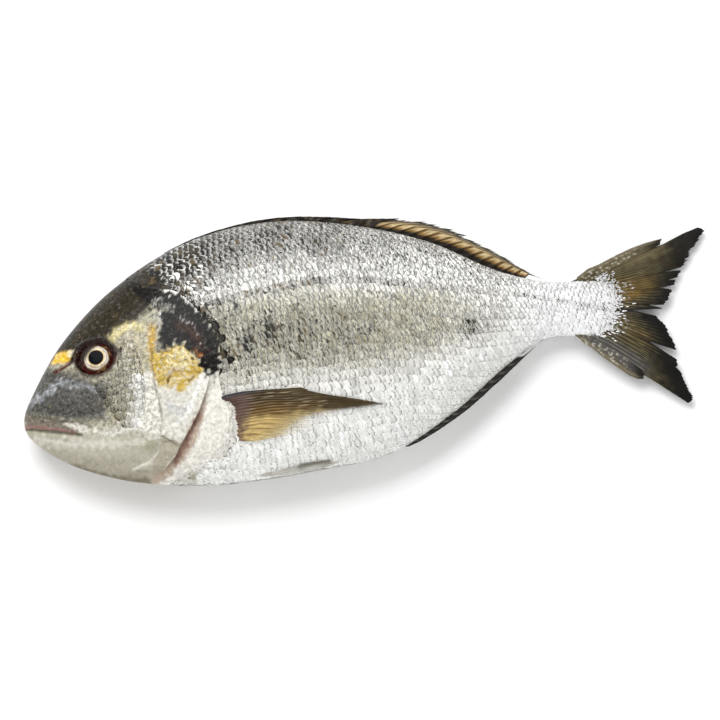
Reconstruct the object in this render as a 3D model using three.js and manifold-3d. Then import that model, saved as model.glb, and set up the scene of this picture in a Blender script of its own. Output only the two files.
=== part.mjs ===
// A whole gilt-head sea bream, lying on its right side on a flat surface.
//
// Frame, in millimetres: +X runs from the snout to the tail, +Y from the belly to the back,
// and +Z up, from the flank that the fish lies on to the flank that shows. The origin is on
// the surface under the fish, below the middle of its outline.

import * as THREE from "three";
import { mergeVertices } from "three/addons/utils/BufferGeometryUtils.js";
import Module from "manifold-3d";

const wasm = await Module();
wasm.setup();

// ---- Driving dimensions -------------------------------------------------------------------

const TOTAL_LENGTH = 300;
const SNOUT_X = -TOTAL_LENGTH / 2;
const FLESH_END_X = 111;
const GAP = 0.4;

// Half of the body at stations from the snout to the end of the flesh:
// x, back, belly, half of the thickness, and how much fuller the section is above (+) or
// below (-) the middle of the flank.
const STATIONS = [
  [SNOUT_X, -17.5, -17.5, 0, 0],
  [-144, -3.7, -28.9, 8, 0],
  [-126, 18.9, -42.2, 14.2, 0.02],
  [-102, 37.5, -51.6, 18.8, 0],
  [-66, 53, -57.1, 21.3, -0.06],
  [-30, 55.8, -56.6, 21.4, -0.08],
  [6, 48.6, -53, 18.6, -0.06],
  [37, 36.4, -37, 14, 0],
  [60, 22.3, -20.8, 10, 0],
  [78, 15.3, -11.4, 7.2, 0],
  [90, 13.2, -11.6, 4.9, 0],
  [100, 13, -12, 2.7, 0],
  [107, 10, -7, 1.3, 0],
  [FLESH_END_X, 2.2, 2.2, 0, 0],
];

// Height of the fish's middle plane above the surface: the thick flank lies on it, and the
// tail hangs down to it.
const MIDDLE_HEIGHTS = [
  [SNOUT_X, 14.6],
  [-114, 17.8],
  [-66, 18.4],
  [-30, 18.3],
  [6, 16.8],
  [37, 14.8],
  [78, 10.4],
  [FLESH_END_X, 6.2],
  [-SNOUT_X, 2.6],
];

// The fish lies on its right flank, so the left one is up.
const LEFT = 1;
const RIGHT = -1;

const SECTION_POWER = 1.2;
const RINGS = 44;
const RING_POINTS = 36;
const RING_CROWDING = 0.7;

const EYE = { x: -116, y: 2.7, radius: 7.6, depth: 5.2, bulge: 1.5 };
const MOUTH = { lip: [-152, -19.4], corner: [-125.6, -29.2], height: 0.8 };
const GILL_SLIT_WIDTH = 1.2;
const GILL_SLIT_DEPTH = 1.4;
const GILL_SLIT_EDGE = [
  [-86, 0],
  [-79, 0.6],
  [-73, -6],
  [-69.5, -14.5],
  [-76, -28.5],
  [-86, -41.5],
  [-99, -50.5],
];

const FINS = {
  dorsal: { rays: 24, steps: 3, root: 1.1, tip: 0.45, sunk: 3 },
  anal: { rays: 14, steps: 3, root: 1, tip: 0.45, sunk: 3 },
  tail: { rays: 17, steps: 7, root: 1.6, tip: 0.35 },
  pectoral: { rays: 15, steps: 6, root: 0.7, tip: 0.3 },
  pelvic: { rays: 6, steps: 6, root: 0.9, tip: 0.4 },
};
const RAY_RELIEF = 0.25;
const PECTORAL_BOW = 5;
const TAIL_BOW = 3.6;

// ---- Measuring the body -------------------------------------------------------------------

// A square root spaces the stations so that the snout comes out round.
const alongBody = (x) => Math.sqrt(THREE.MathUtils.clamp(x, SNOUT_X, FLESH_END_X) - SNOUT_X);

/** A smooth curve through rows of [place, value, value, ...]. */
function smoothTable(rows) {
  const places = rows.map(([place]) => place);
  const values = rows.flatMap(([, ...rest]) => rest);
  return new THREE.CubicInterpolant(places, values, rows[0].length - 1);
}

const bodyTable = smoothTable(STATIONS.map(([x, ...rest]) => [alongBody(x), ...rest]));
const heightTable = smoothTable(MIDDLE_HEIGHTS);
const middleHeight = (x) => heightTable.evaluate(x)[0];

function sectionAt(x) {
  const [back, belly, halfWidth, fullness] = bodyTable.evaluate(alongBody(x));
  return { back, belly, middle: (back + belly) / 2, halfWidth, fullness };
}

/**
 * A point of the skin, lifted off it by a distance. The angle runs from 0 on the back to PI
 * on the belly, and the side is 1 on the flank that shows and -1 on the one underneath.
 */
function skinPoint(x, angle, side, lift = 0) {
  const { back, middle, halfWidth, fullness } = sectionAt(x);
  const swell = Math.sin(angle) ** SECTION_POWER * (1 + fullness * Math.cos(angle));
  const y = middle + (back - middle + lift) * Math.cos(angle);
  const z = middleHeight(x) + side * (halfWidth + lift) * swell;
  return new THREE.Vector3(x, y, z);
}

/** The angle at which a section of the body reaches a height y. */
function angleAt(x, y) {
  const { back, middle } = sectionAt(x);
  return Math.acos(THREE.MathUtils.clamp((y - middle) / (back - middle), -1, 1));
}

// ---- Making solids ------------------------------------------------------------------------

function geometryFrom(positions, index) {
  const geometry = new THREE.BufferGeometry();
  geometry.setAttribute("position", new THREE.Float32BufferAttribute(positions, 3));
  geometry.setIndex(index);
  return geometry;
}

function toSolid(geometry) {
  const bare = geometry.clone();
  bare.deleteAttribute("normal");
  bare.deleteAttribute("uv");
  const merged = mergeVertices(bare);
  const triVerts = new Uint32Array(merged.index.array);
  const vertProperties = new Float32Array(merged.attributes.position.array);
  const solid = new wasm.Manifold(new wasm.Mesh({ numProp: 3, vertProperties, triVerts }));
  return solid.volume() > 0 ? solid : turnedOut(vertProperties, triVerts);
}

/** The same solid with its faces turned to point outwards. */
function turnedOut(vertProperties, triVerts) {
  const turned = new Uint32Array(triVerts).reverse();
  return new wasm.Manifold(new wasm.Mesh({ numProp: 3, vertProperties, triVerts: turned }));
}

function toGeometry(solid) {
  const { vertProperties, triVerts, numProp } = solid.getMesh();
  const geometry = geometryFrom([], [...triVerts]);
  const buffer = new THREE.InterleavedBuffer(vertProperties, numProp);
  geometry.setAttribute("position", new THREE.InterleavedBufferAttribute(buffer, 3, 0));
  const flat = geometry.toNonIndexed();
  flat.computeVertexNormals();
  return flat;
}

/** A closed skin over rings of points, with a single point at each end. */
function loft(firstPoint, rings, lastPoint) {
  const size = rings[0].length;
  const points = [firstPoint, ...rings.flat(), lastPoint];
  const at = (ring, k) => 1 + ring * size + (k % size);
  const last = points.length - 1;
  const index = [];
  for (let k = 0; k < size; k += 1) {
    index.push(0, at(0, k), at(0, k + 1));
    index.push(last, at(rings.length - 1, k + 1), at(rings.length - 1, k));
    for (let ring = 0; ring < rings.length - 1; ring += 1) {
      index.push(at(ring, k), at(ring + 1, k), at(ring + 1, k + 1));
      index.push(at(ring, k), at(ring + 1, k + 1), at(ring, k + 1));
    }
  }
  return toSolid(geometryFrom(points.flatMap((point) => [...point]), index));
}

/** A thin closed sheet: pointAt(across, along, face) gives each face, -1 and 1. */
function sheet(columns, rows, pointAt) {
  const points = [];
  for (const face of [-1, 1]) {
    for (let row = 0; row <= rows; row += 1) {
      for (let column = 0; column <= columns; column += 1) {
        points.push(pointAt(column / columns, row / rows, face));
      }
    }
  }
  const index = sheetFaces(columns, rows);
  return toSolid(geometryFrom(points.flatMap((point) => [...point]), index));
}

function sheetFaces(columns, rows) {
  const index = [];
  const at = (face, row, column) => (face * (rows + 1) + row) * (columns + 1) + column;
  const quad = (a, b, c, d) => index.push(a, b, c, a, c, d);
  for (let row = 0; row < rows; row += 1) {
    for (let column = 0; column < columns; column += 1) {
      quad(at(1, row, column), at(1, row, column + 1), at(1, row + 1, column + 1), at(1, row + 1, column));
      quad(at(0, row, column), at(0, row + 1, column), at(0, row + 1, column + 1), at(0, row, column + 1));
    }
    quad(at(0, row, 0), at(1, row, 0), at(1, row + 1, 0), at(0, row + 1, 0));
    quad(at(0, row, columns), at(0, row + 1, columns), at(1, row + 1, columns), at(1, row, columns));
  }
  for (let column = 0; column < columns; column += 1) {
    quad(at(0, 0, column), at(0, 0, column + 1), at(1, 0, column + 1), at(1, 0, column));
    quad(at(0, rows, column), at(1, rows, column), at(1, rows, column + 1), at(0, rows, column + 1));
  }
  return index;
}

const curve = (points) => new THREE.SplineCurve(points.map(([x, y]) => new THREE.Vector2(x, y)));

/** A plate standing through the fish from flank to flank, with the given outline. */
function throughPlate(outline) {
  const depth = 2 * Math.max(...MIDDLE_HEIGHTS.map(([, z]) => z)) + TOTAL_LENGTH / 10;
  const shape = new THREE.Shape(outline);
  const plate = new THREE.ExtrudeGeometry(shape, { depth, bevelEnabled: false });
  return toSolid(plate.translate(0, 0, -TOTAL_LENGTH / 20));
}

// ---- Body ---------------------------------------------------------------------------------

/** Rings lie closer together towards the snout and the tail. */
function ringPlace(ring) {
  const turn = (2 * Math.PI * ring) / RINGS;
  return ring / RINGS - (RING_CROWDING * Math.sin(turn)) / (2 * Math.PI);
}

/** The body grown by a lift and pressed flat where it lies. */
function bodySolid(lift) {
  const start = SNOUT_X - lift;
  const length = FLESH_END_X + lift - start;
  const pressed = (point) => point.setZ(Math.max(point.z, -lift));
  const rings = [];
  for (let ring = 1; ring < RINGS; ring += 1) {
    const x = start + length * ringPlace(ring);
    rings.push([]);
    for (let k = 0; k < RING_POINTS; k += 1) {
      const turn = (2 * Math.PI * k) / RING_POINTS;
      const side = turn <= Math.PI ? 1 : -1;
      const angle = side > 0 ? turn : 2 * Math.PI - turn;
      rings.at(-1).push(pressed(skinPoint(x, angle, side, lift)));
    }
  }
  return loft(skinPoint(start, 0, 1), rings, skinPoint(start + length, 0, 1));
}

/** The mouth is a thin wedge cut between the lips, back to the corner. */
function mouthCut() {
  const { lip, corner, height } = MOUTH;
  const lower = new THREE.Vector2(...lip).setY(lip[1] - height / 2);
  const upper = new THREE.Vector2(...lip).setY(lip[1] + height / 2);
  return throughPlate([lower, new THREE.Vector2(...corner), upper]);
}

/** The slit behind the gill covers, a crescent that is only skin deep. */
function gillCuts() {
  const edge = curve(GILL_SLIT_EDGE);
  const steps = 3 * GILL_SLIT_EDGE.length;
  const front = edge.getPoints(steps);
  const rear = front.map((point, i) => {
    const width = GILL_SLIT_WIDTH * Math.sin((Math.PI * (i + 1)) / (steps + 2));
    const tangent = edge.getTangent(i / steps);
    return new THREE.Vector2(point.x - width * tangent.y, point.y + width * tangent.x);
  });
  return throughPlate([...front, ...rear.reverse()]).subtract(bodySolid(-GILL_SLIT_DEPTH));
}

/** An eyeball, a little flattened, looking out of the flank on one side. */
function eyeSolid(side, lift = 0) {
  const { x, y, radius, depth, bulge } = EYE;
  const skin = skinPoint(x, angleAt(x, y), side);
  const ball = new THREE.SphereGeometry(1, 22, 12).rotateX(Math.PI / 2);
  ball.scale(radius + lift, radius + lift, depth + lift);
  return toSolid(ball.translate(skin.x, skin.y, skin.z + side * (bulge - depth)));
}

// ---- Fins ---------------------------------------------------------------------------------

/** A fin's thickness, without the ridges of its rays: its root is thicker than its margin. */
const plainThickness = (fin, along) => THREE.MathUtils.lerp(fin.root, fin.tip, along);

/** How much of its plain thickness a fin has on a ray (all) and between two rays. */
function rayRelief(fin, across) {
  return 1 - RAY_RELIEF * (1 - Math.cos(2 * Math.PI * fin.rays * across));
}

/** A fin in the fish's middle plane: rays run from the root curve to the margin curve. */
function middleFin(fin, root, margin, bow = 0) {
  return sheet(2 * fin.rays, fin.steps, (across, along, face) => {
    const point = root(across).lerp(margin(across), along);
    const bowed = point.y + bow * (1 - 2 * across) * Math.sin(Math.PI * along);
    const half = (plainThickness(fin, along) * rayRelief(fin, across)) / 2;
    return new THREE.Vector3(point.x, bowed, middleHeight(point.x) + face * half);
  });
}

/**
 * A fin folded against a flank: smooth inside, ridged outside. The one underneath is pressed
 * on the surface. With room, it is the space that the fin presses into the flank instead,
 * that much larger all round.
 */
function foldedFin(fin, side, root, margin, bow = 0, room = 0) {
  const columns = room > 0 ? fin.rays : 2 * fin.rays;
  return sheet(columns, fin.steps, (across, along, face) => {
    const point = root.getPoint(across).lerp(margin.getPoint(across), along);
    const x = point.x + room * (2 * along - 1);
    const bowed = point.y + bow * (1 - across) * Math.sin(Math.PI * along);
    const y = bowed + room * (1 - 2 * across);
    const thickness = plainThickness(fin, along);
    const lift = GAP + (face > 0 ? thickness * rayRelief(fin, across) : 0);
    const lifted = skinPoint(x, angleAt(x, y), side, lift);
    const level = Math.max(lifted.z, face > 0 ? 0 : thickness);
    return lifted.setZ(face > 0 ? level - 3 * room : level + room);
  });
}

/** The dorsal fin: spines folded low along the back, then a soft part half raised. */
function dorsalFin() {
  const rise = smoothTable([[-80, 0.2], [-66, 1.3], [-12, 1.6], [8, 2.6], [24, 6.2], [40, 8.8],
    [52, 9.4], [62, 7.4], [70, 4.4], [78, 1.2]]);
  const { sunk } = FINS.dorsal;
  const root = (across) => {
    const x = THREE.MathUtils.lerp(-80, 68, across);
    return new THREE.Vector2(x, sectionAt(x).back - sunk);
  };
  const margin = (across) => {
    const x = THREE.MathUtils.lerp(-78, 78, across);
    return new THREE.Vector2(x, sectionAt(x).back + rise.evaluate(x)[0]);
  };
  return middleFin(FINS.dorsal, root, margin).subtract(bodySolid(GAP));
}

/** The anal fin, folded close along the rear of the belly. */
function analFin() {
  const drop = smoothTable([[12, 0.8], [26, 2.2], [44, 3.2], [56, 3.4], [66, 2.2], [72, 0.9]]);
  const { sunk } = FINS.anal;
  const root = (across) => {
    const x = THREE.MathUtils.lerp(10, 62, across);
    return new THREE.Vector2(x, sectionAt(x).belly + sunk);
  };
  const margin = (across) => {
    const x = THREE.MathUtils.lerp(14, 72, across);
    return new THREE.Vector2(x, sectionAt(x).belly - drop.evaluate(x)[0]);
  };
  return middleFin(FINS.anal, root, margin).subtract(bodySolid(GAP));
}

/** The tail fin: rays fan out of the fleshy base to a forked margin. */
function tailFin() {
  const root = curve([[86, 11], [97, 9], [103, 1], [96, -8], [85, -10]]);
  const margin = curve([[-SNOUT_X, 28], [140, 11], [127.5, -6], [131.5, -21], [135, -44]]);
  const fan = middleFin(FINS.tail, (u) => root.getPoint(u), (u) => margin.getPoint(u), TAIL_BOW);
  return fan.subtract(bodySolid(GAP));
}

/** The pectoral fin hangs from its root behind the gill cover and ends in a long point. */
function pectoralFin(side, room = 0) {
  const root = curve([[-58.5, -25], [-59.5, -30], [-61, -36], [-62.5, -41.5]]);
  const margin = curve([[5, -35.3], [-10, -37.4], [-25, -40.2], [-40, -42.6], [-56, -43.8]]);
  return foldedFin(FINS.pectoral, side, root, margin, PECTORAL_BOW, room);
}

/** The pelvic fins lie back along the belly, one on each side of its middle line. */
function pelvicFin(side) {
  const root = curve([[-57.5, -57.2], [-56.5, -55.5], [-54.5, -53]]);
  const margin = curve([[-14, -55.4], [-20, -54.4], [-29, -52.8]]);
  return foldedFin(FINS.pelvic, side, root, margin);
}

// ---- The fish -----------------------------------------------------------------------------

const fins = {
  dorsal_fin: dorsalFin(),
  anal_fin: analFin(),
  tail_fin: tailFin(),
  left_pectoral_fin: pectoralFin(LEFT),
  right_pectoral_fin: pectoralFin(RIGHT),
  left_pelvic_fin: pelvicFin(LEFT),
  right_pelvic_fin: pelvicFin(RIGHT),
};
const body = bodySolid(0)
  .subtract(eyeSolid(LEFT, GAP))
  .subtract(eyeSolid(RIGHT, GAP))
  .subtract(mouthCut())
  .subtract(gillCuts())
  .subtract(pectoralFin(RIGHT, GAP));

const seaBream = new THREE.Group();

function addPiece(name, solid, color, roughness) {
  const material = new THREE.MeshStandardMaterial({ color, roughness, metalness: 0 });
  const mesh = new THREE.Mesh(toGeometry(solid), material);
  mesh.name = name;
  seaBream.add(mesh);
}

addPiece("body", body, 0xb9bab2, 0.35);
addPiece("left_eye", eyeSolid(LEFT), 0xd8d4c4, 0.08);
addPiece("right_eye", eyeSolid(RIGHT), 0xd8d4c4, 0.08);
addPiece("dorsal_fin", fins.dorsal_fin, 0x6d5632, 0.45);
addPiece("anal_fin", fins.anal_fin, 0x45423c, 0.45);
addPiece("tail_fin", fins.tail_fin, 0x554c38, 0.45);
addPiece("left_pectoral_fin", fins.left_pectoral_fin, 0x9a7d52, 0.4);
addPiece("right_pectoral_fin", fins.right_pectoral_fin, 0x9a7d52, 0.4);
addPiece("left_pelvic_fin", fins.left_pelvic_fin, 0xb4b0a6, 0.4);
addPiece("right_pelvic_fin", fins.right_pelvic_fin, 0xb4b0a6, 0.4);

// The origin goes below the middle of the outline.
const outline = new THREE.Box3().setFromObject(seaBream);
const centre = outline.getCenter(new THREE.Vector3());
seaBream.position.set(-centre.x, -centre.y, -outline.min.z);

export default seaBream;
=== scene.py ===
# %% [markdown]
# # A gilt-head sea bream, laid on its right side
#
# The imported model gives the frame: where the body, the eyes and the fins are, and how big.
# This file makes what the eye sees: skin with its creases and colours, overlapping scales,
# glassy eyes and fins with real rays. Everything is in the frame's own metres.

# %% The frame
import math
import bpy
import numpy as np
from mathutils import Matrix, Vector


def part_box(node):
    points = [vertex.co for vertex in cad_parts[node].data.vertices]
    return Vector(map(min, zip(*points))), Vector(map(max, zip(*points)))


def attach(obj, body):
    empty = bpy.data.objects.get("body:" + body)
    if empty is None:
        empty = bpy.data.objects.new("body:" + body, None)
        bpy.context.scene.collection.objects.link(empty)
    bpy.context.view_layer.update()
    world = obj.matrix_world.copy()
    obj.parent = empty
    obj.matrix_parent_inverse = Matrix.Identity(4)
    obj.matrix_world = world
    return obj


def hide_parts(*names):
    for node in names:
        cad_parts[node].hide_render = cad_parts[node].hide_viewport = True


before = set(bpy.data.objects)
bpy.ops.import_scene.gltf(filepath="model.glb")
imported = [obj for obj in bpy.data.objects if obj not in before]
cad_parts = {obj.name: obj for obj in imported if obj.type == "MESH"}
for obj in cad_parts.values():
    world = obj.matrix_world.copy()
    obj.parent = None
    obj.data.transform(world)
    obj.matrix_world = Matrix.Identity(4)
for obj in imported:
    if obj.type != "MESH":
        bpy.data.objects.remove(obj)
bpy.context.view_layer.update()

MM = 0.001
LEFT, RIGHT = 1, -1
SIDES = {"left": LEFT, "right": RIGHT}

# %% [markdown]
# ## Camera and light
#
# A fish on a table is looked at from above and a little from the belly side, through a long
# lens that keeps its outline true. Big soft lamps show wet skin without hard glare, and a
# pale floor throws light back up under the belly.

# %% Camera
CAMERA_TURN = math.radians(-8.5)
CAMERA_HEIGHT = math.radians(75)
CAMERA_DISTANCE = 4.0
VIEW_WIDTH = 0.3093
CAMERA_AIM = Vector((-0.0033, -0.0106, 0.019))
SENSOR = 36


def add_camera():
    """A long lens that takes in the whole fish from the belly side, high up."""
    away = Vector((
        math.sin(CAMERA_TURN) * math.cos(CAMERA_HEIGHT),
        -math.cos(CAMERA_TURN) * math.cos(CAMERA_HEIGHT),
        math.sin(CAMERA_HEIGHT),
    ))
    data = bpy.data.cameras.new("camera")
    data.sensor_width = SENSOR
    data.lens = SENSOR * CAMERA_DISTANCE / VIEW_WIDTH
    camera = bpy.data.objects.new("camera", data)
    camera.location = CAMERA_AIM + away * CAMERA_DISTANCE
    camera.rotation_euler = (-away).to_track_quat("-Z", "Y").to_euler()
    bpy.context.scene.collection.objects.link(camera)
    bpy.context.scene.camera = camera
    print("camera at", [round(v, 3) for v in camera.location], "lens", round(data.lens, 1))


add_camera()

# %% Colours and shader nodes
OUTPUT_OF = {"ShaderNodeMix": 2, "ShaderNodeAttribute": 2}


def linear(hex_colour):
    """An sRGB hex colour as linear red, green, blue and 1."""
    parts = [int(hex_colour[i:i + 2], 16) / 255 for i in (1, 3, 5)]
    return tuple(p / 12.92 if p <= 0.04045 else ((p + 0.055) / 1.055) ** 2.4 for p in parts) + (1,)


def join(tree, made, inputs):
    """Gives a node's inputs, by name or in order, a value or a link to a node or its socket."""
    for name, value in inputs.items() if isinstance(inputs, dict) else enumerate(inputs):
        if isinstance(value, bpy.types.Node):
            value = value.outputs[OUTPUT_OF.get(value.bl_idname, 0)]
        if isinstance(value, bpy.types.NodeSocket):
            tree.links.new(value, made.inputs[name])
        else:
            made.inputs[name].default_value = value


def node(tree, kind, inputs=(), stops=(), **settings):
    """Adds a shader node with its settings and what goes into it, and the stops of its ramp."""
    made = tree.nodes.new("ShaderNode" + kind)
    for name, value in settings.items():
        setattr(made, name, value)
    for i, (place, hex_colour) in enumerate(stops):
        ramp = made.color_ramp.elements
        stop = ramp[i] if i < len(ramp) else ramp.new(place)
        stop.position, stop.color = place, linear(hex_colour)
    join(tree, made, inputs)
    return made


def new_material(name):
    """An empty material: its tree, and its shader, joined to the output."""
    material = bpy.data.materials.new(name)
    material.use_nodes = True
    tree = material.node_tree
    tree.nodes.clear()
    shader = node(tree, "BsdfPrincipled")
    node(tree, "OutputMaterial", {"Surface": shader})
    return material, tree, shader


# %% Lamps and floor
LAMPS = {
    "overhead": {"at": (-0.2, 0.6, 0.85), "size": 0.8, "watts": 10.0},
    "belly_side": {"at": (0.1, -0.8, 0.6), "size": 0.6, "watts": 1.8},
    "snout_side": {"at": (-0.9, -0.1, 0.4), "size": 0.4, "watts": 0.8},
}
WORLD_STRENGTH = 0.58
FLOOR_SIZE = 6


def add_lamps():
    """Soft square lamps that all look at the middle of the fish."""
    for name, lamp in LAMPS.items():
        data = bpy.data.lights.new(name, "AREA")
        data.size = lamp["size"]
        data.energy = lamp["watts"]
        holder = bpy.data.objects.new(name, data)
        holder.location = lamp["at"]
        holder.rotation_euler = (-Vector(lamp["at"])).to_track_quat("-Z", "Y").to_euler()
        bpy.context.scene.collection.objects.link(holder)


def add_floor():
    """A wide matt white floor, and an even white sky."""
    bpy.ops.mesh.primitive_plane_add(size=FLOOR_SIZE, location=(0, 0, 0))
    floor = bpy.context.object
    floor.name = "floor"
    material, tree, shader = new_material("white paper floor")
    grain = node(tree, "TexNoise", {"Scale": 400.0})
    tint = node(tree, "Mix", {0: grain, 6: linear("#fbfbfb"), 7: linear("#ffffff")}, data_type="RGBA")
    join(tree, shader, {"Base Color": tint, "Roughness": 0.9})
    floor.data.materials.append(material)
    world = bpy.data.worlds.new("sky")
    world.use_nodes = True
    world.node_tree.nodes["Background"].inputs["Strength"].default_value = WORLD_STRENGTH
    world.node_tree.nodes["Background"].inputs["Color"].default_value = (1, 1, 1, 1)
    bpy.context.scene.world = world


bpy.ops.object.select_all(action="DESELECT")
add_lamps()
add_floor()
bpy.context.scene.view_settings.view_transform = "Standard"

# %% [markdown]
# ## Measuring the body
#
# The body's solid is made of rings. Each ring's highest, lowest and widest points say where
# the back, the belly and the flanks run, and smooth curves through them carry the skin, the
# scales and the folded fins. So every layer follows the same fish.

# %% Body measures
SNOUT_X, FLESH_END_X = (value / MM for value in (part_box("body")[0][0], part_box("body")[1][0]))
SECTION_POWER = 1.2
FULL_RING = 60


def smooth_curve(places, values):
    """A function that runs smoothly through values at places."""
    places = np.asarray(places, float)
    values = np.asarray(values, float)
    slopes = np.gradient(values, places, axis=0)

    def curve(place):
        place = np.asarray(place, float)
        i = np.clip(np.searchsorted(places, place) - 1, 0, len(places) - 2)
        step = places[i + 1] - places[i]
        t = np.clip((place - places[i]) / step, 0, 1)
        if values.ndim > 1:
            t, step = t[..., None], step[..., None]
        start = (1 + 2 * t) * (1 - t) ** 2 * values[i] + t * (1 - t) ** 2 * step * slopes[i]
        end = t ** 2 * (3 - 2 * t) * values[i + 1] + t ** 2 * (t - 1) * step * slopes[i + 1]
        return start + end

    return curve


def body_rings():
    """Rows of x, back, belly, half thickness and middle height, in mm, one for each ring."""
    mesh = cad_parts["body"].data
    points = np.array([tuple(v.co) for v in mesh.vertices]) / MM
    places = np.round(points[:, 0], 2)
    rows = []
    for x in np.unique(places):
        ring = points[places == x]
        if len(ring) < FULL_RING:
            continue
        back, belly = ring[ring[:, 1].argmax()], ring[ring[:, 1].argmin()]
        upper = ring[ring[:, 2] > back[2]]
        middle = (back[1] + belly[1]) / 2
        flank = upper[np.abs(upper[:, 1] - middle).argmin()]
        rows.append((x, back[1], belly[1], flank[2] - back[2], back[2]))
    for x in (SNOUT_X, FLESH_END_X):
        tip = points[np.abs(points[:, 0] - x).argmin()]
        rows.append((x, tip[1], tip[1], 0, tip[2]))
    return np.array(sorted(rows))


def along_body(x):
    """How far back x is, stretched at the snout, where the body swells fastest."""
    return np.sqrt(np.clip(x, SNOUT_X, FLESH_END_X) - SNOUT_X)


RINGS = body_rings()
section = smooth_curve(along_body(RINGS[:, 0]), RINGS[:, 1:])
print("measured", len(RINGS), "rings of the body")


def skin(x, angle, side, lift=0.0):
    """Points of the skin in mm. Angle 0 is the back and pi the belly."""
    back, belly, half, level = np.moveaxis(section(along_body(x)), -1, 0)
    swell = np.abs(np.sin(angle)) ** SECTION_POWER
    y = (back + belly) / 2 + ((back - belly) / 2 + lift) * np.cos(angle)
    return np.stack(np.broadcast_arrays(x, y, level + side * (half + lift) * swell), -1)


def angle_at(x, y):
    """The angle round the section where the skin reaches height y."""
    back, belly = np.moveaxis(section(along_body(x)), -1, 0)[:2]
    reach = np.maximum((back - belly) / 2, 1e-6)
    return np.arccos(np.clip((y - (back + belly) / 2) / reach, -1, 1))

# %% [markdown]
# ## Colours by place
#
# A bream's colours are laid on in patches: a dark forehead, a gold bar before the eye, gold
# on the gill cover, a black blotch behind it, a silver flank and a white belly. The patches
# are painted here as soft strokes, once, and both the skin and every scale read them. A few
# strokes are painted highlights and painted shade, on the jaw and the blotch.

# %% Brushes
PAINT_RIPPLE = 1.1


def ripple(points, scale, seed):
    """A smooth wandering value from -1 to 1 at each point; scale is its size in mm."""
    source = np.random.default_rng(seed)
    total = np.zeros(len(points))
    for octave in range(5):
        heading = source.uniform(0, 2 * math.pi)
        along = points @ np.array([math.cos(heading), math.sin(heading)])
        across = points @ np.array([-math.sin(heading), math.cos(heading)])
        rate = 2 * math.pi / scale * source.uniform(0.6, 1.6)
        bend = 1.7 * np.sin(across * rate * 0.7 + source.uniform(0, 6))
        total += np.sin(along * rate + bend + source.uniform(0, 6))
    return total / 5


def line_distance(points, line):
    """How far each point is from a bent line."""
    nearest = np.full(len(points), np.inf)
    for start, end in zip(line[:-1], line[1:]):
        start, run = np.array(start, float), np.subtract(end, start).astype(float)
        share = np.clip((points - start) @ run / (run @ run), 0, 1)
        gap = points - start - share[:, None] * run
        nearest = np.minimum(nearest, np.hypot(gap[:, 0], gap[:, 1]))
    return nearest


def patch_distance(points, outline):
    """How far each point is outside a closed outline; inside it, less than 0."""
    inside = np.zeros(len(points), bool)
    x, y = points[:, 0], points[:, 1]
    for (x0, y0), (x1, y1) in zip(outline, outline[1:] + outline[:1]):
        crosses = (y0 > y) != (y1 > y)
        rise = (y1 - y0) if y1 != y0 else 1
        inside ^= crosses & (x < (x1 - x0) * (y - y0) / rise + x0)
    return np.where(inside, -1, 1) * line_distance(points, outline + outline[:1])


def fade(values, start, end):
    """Runs softly from 0 at start to 1 at end."""
    t = np.clip((values - start) / (end - start), 0, 1)
    return t * t * (3 - 2 * t)


def stroke(colour, points, width, soft, ragged=1, strength=1):
    """A stroke of paint along a bent line, this wide and with an edge this soft, in mm."""
    return colour, points, width, soft, ragged, strength


def patch(colour, outline, soft, ragged=1, strength=1):
    """A patch of paint inside an outline, with an edge this soft, in mm."""
    return colour, outline, 0, soft, ragged, strength


def plain_colour(points, hex_colour):
    """One colour at every point, as linear red, green and blue."""
    return np.outer(np.ones(len(points)), linear(hex_colour)[:3])


def lay(colours, hex_colour, cover):
    """The colours with another laid over them, from 0 not at all to 1 fully."""
    return colours + np.asarray(cover)[:, None] * (np.array(linear(hex_colour)[:3]) - colours)


def lay_strokes(points, colours, strokes):
    """The colours with strokes and patches of paint laid over them, in order."""
    wander = np.stack([ripple(points, 5, 1), ripple(points, 5, 2)], -1)
    for colour, shape, width, soft, ragged, strength in strokes:
        moved = points + ragged * PAINT_RIPPLE * wander
        far = line_distance(moved, shape) - width / 2 if width else patch_distance(moved, shape)
        colours = lay(colours, colour, strength * (1 - fade(far, -soft / 2, soft / 2)))
    return colours


# %% Where the parts of the head are, in mm
EYE = (-116.0, 3.3)
EYE_TILT = math.radians(-14)
SOCKET_LENGTH = 8.7
SOCKET_HEIGHT = 7.5
MOUTH_LINE = [(-152, -19.2), (-149, -20), (-143.8, -22.3), (-137.2, -24.8), (-131, -26.9), (-126, -28.6)]
LIP_TOP = [(-150, -11), (-148, -12.4), (-145, -15.6), (-139.4, -18.3), (-133.4, -21), (-127.3, -22.6),
           (-122, -25.6)]
PREOPERCLE = [(-92, 4), (-91.7, 0), (-92.3, -7.7), (-92.4, -15.4), (-91.3, -22), (-91.6, -29.4),
              (-93.2, -34.7), (-95.2, -40.8), (-99.4, -44.2), (-106.5, -45.6)]
OPERCLE_REAR = [(-88.5, 1), (-85.7, 0.4), (-80.6, 1.9), (-76.7, 0.4), (-74, -4), (-70.8, -9.5),
                (-68.9, -14), (-70.9, -18.8), (-74.9, -26.4), (-79, -32), (-85.2, -39.4),
                (-88.3, -43.6), (-93.4, -47.3), (-99.4, -49.8)]
LATERAL_LINE = [(-72, 16.5), (-62, 18.5), (-50, 20.5), (-24, 22.6), (-11, 22.6), (5.6, 20.6),
                (18.3, 17.6), (47.9, 12.4), (69, 8.4), (86, 4), (104, -0.5)]
SMOOTH_JAW = [(-152, -19), (-137, -25), (-126, -29.5), (-109, -33), (-96, -36), (-93, -42), (-98, -60),
              (-152, -60)]
COVER_SEAM = [(-93.2, -34.7), (-89.3, -37.4), (-85, -39.8)]

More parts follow.
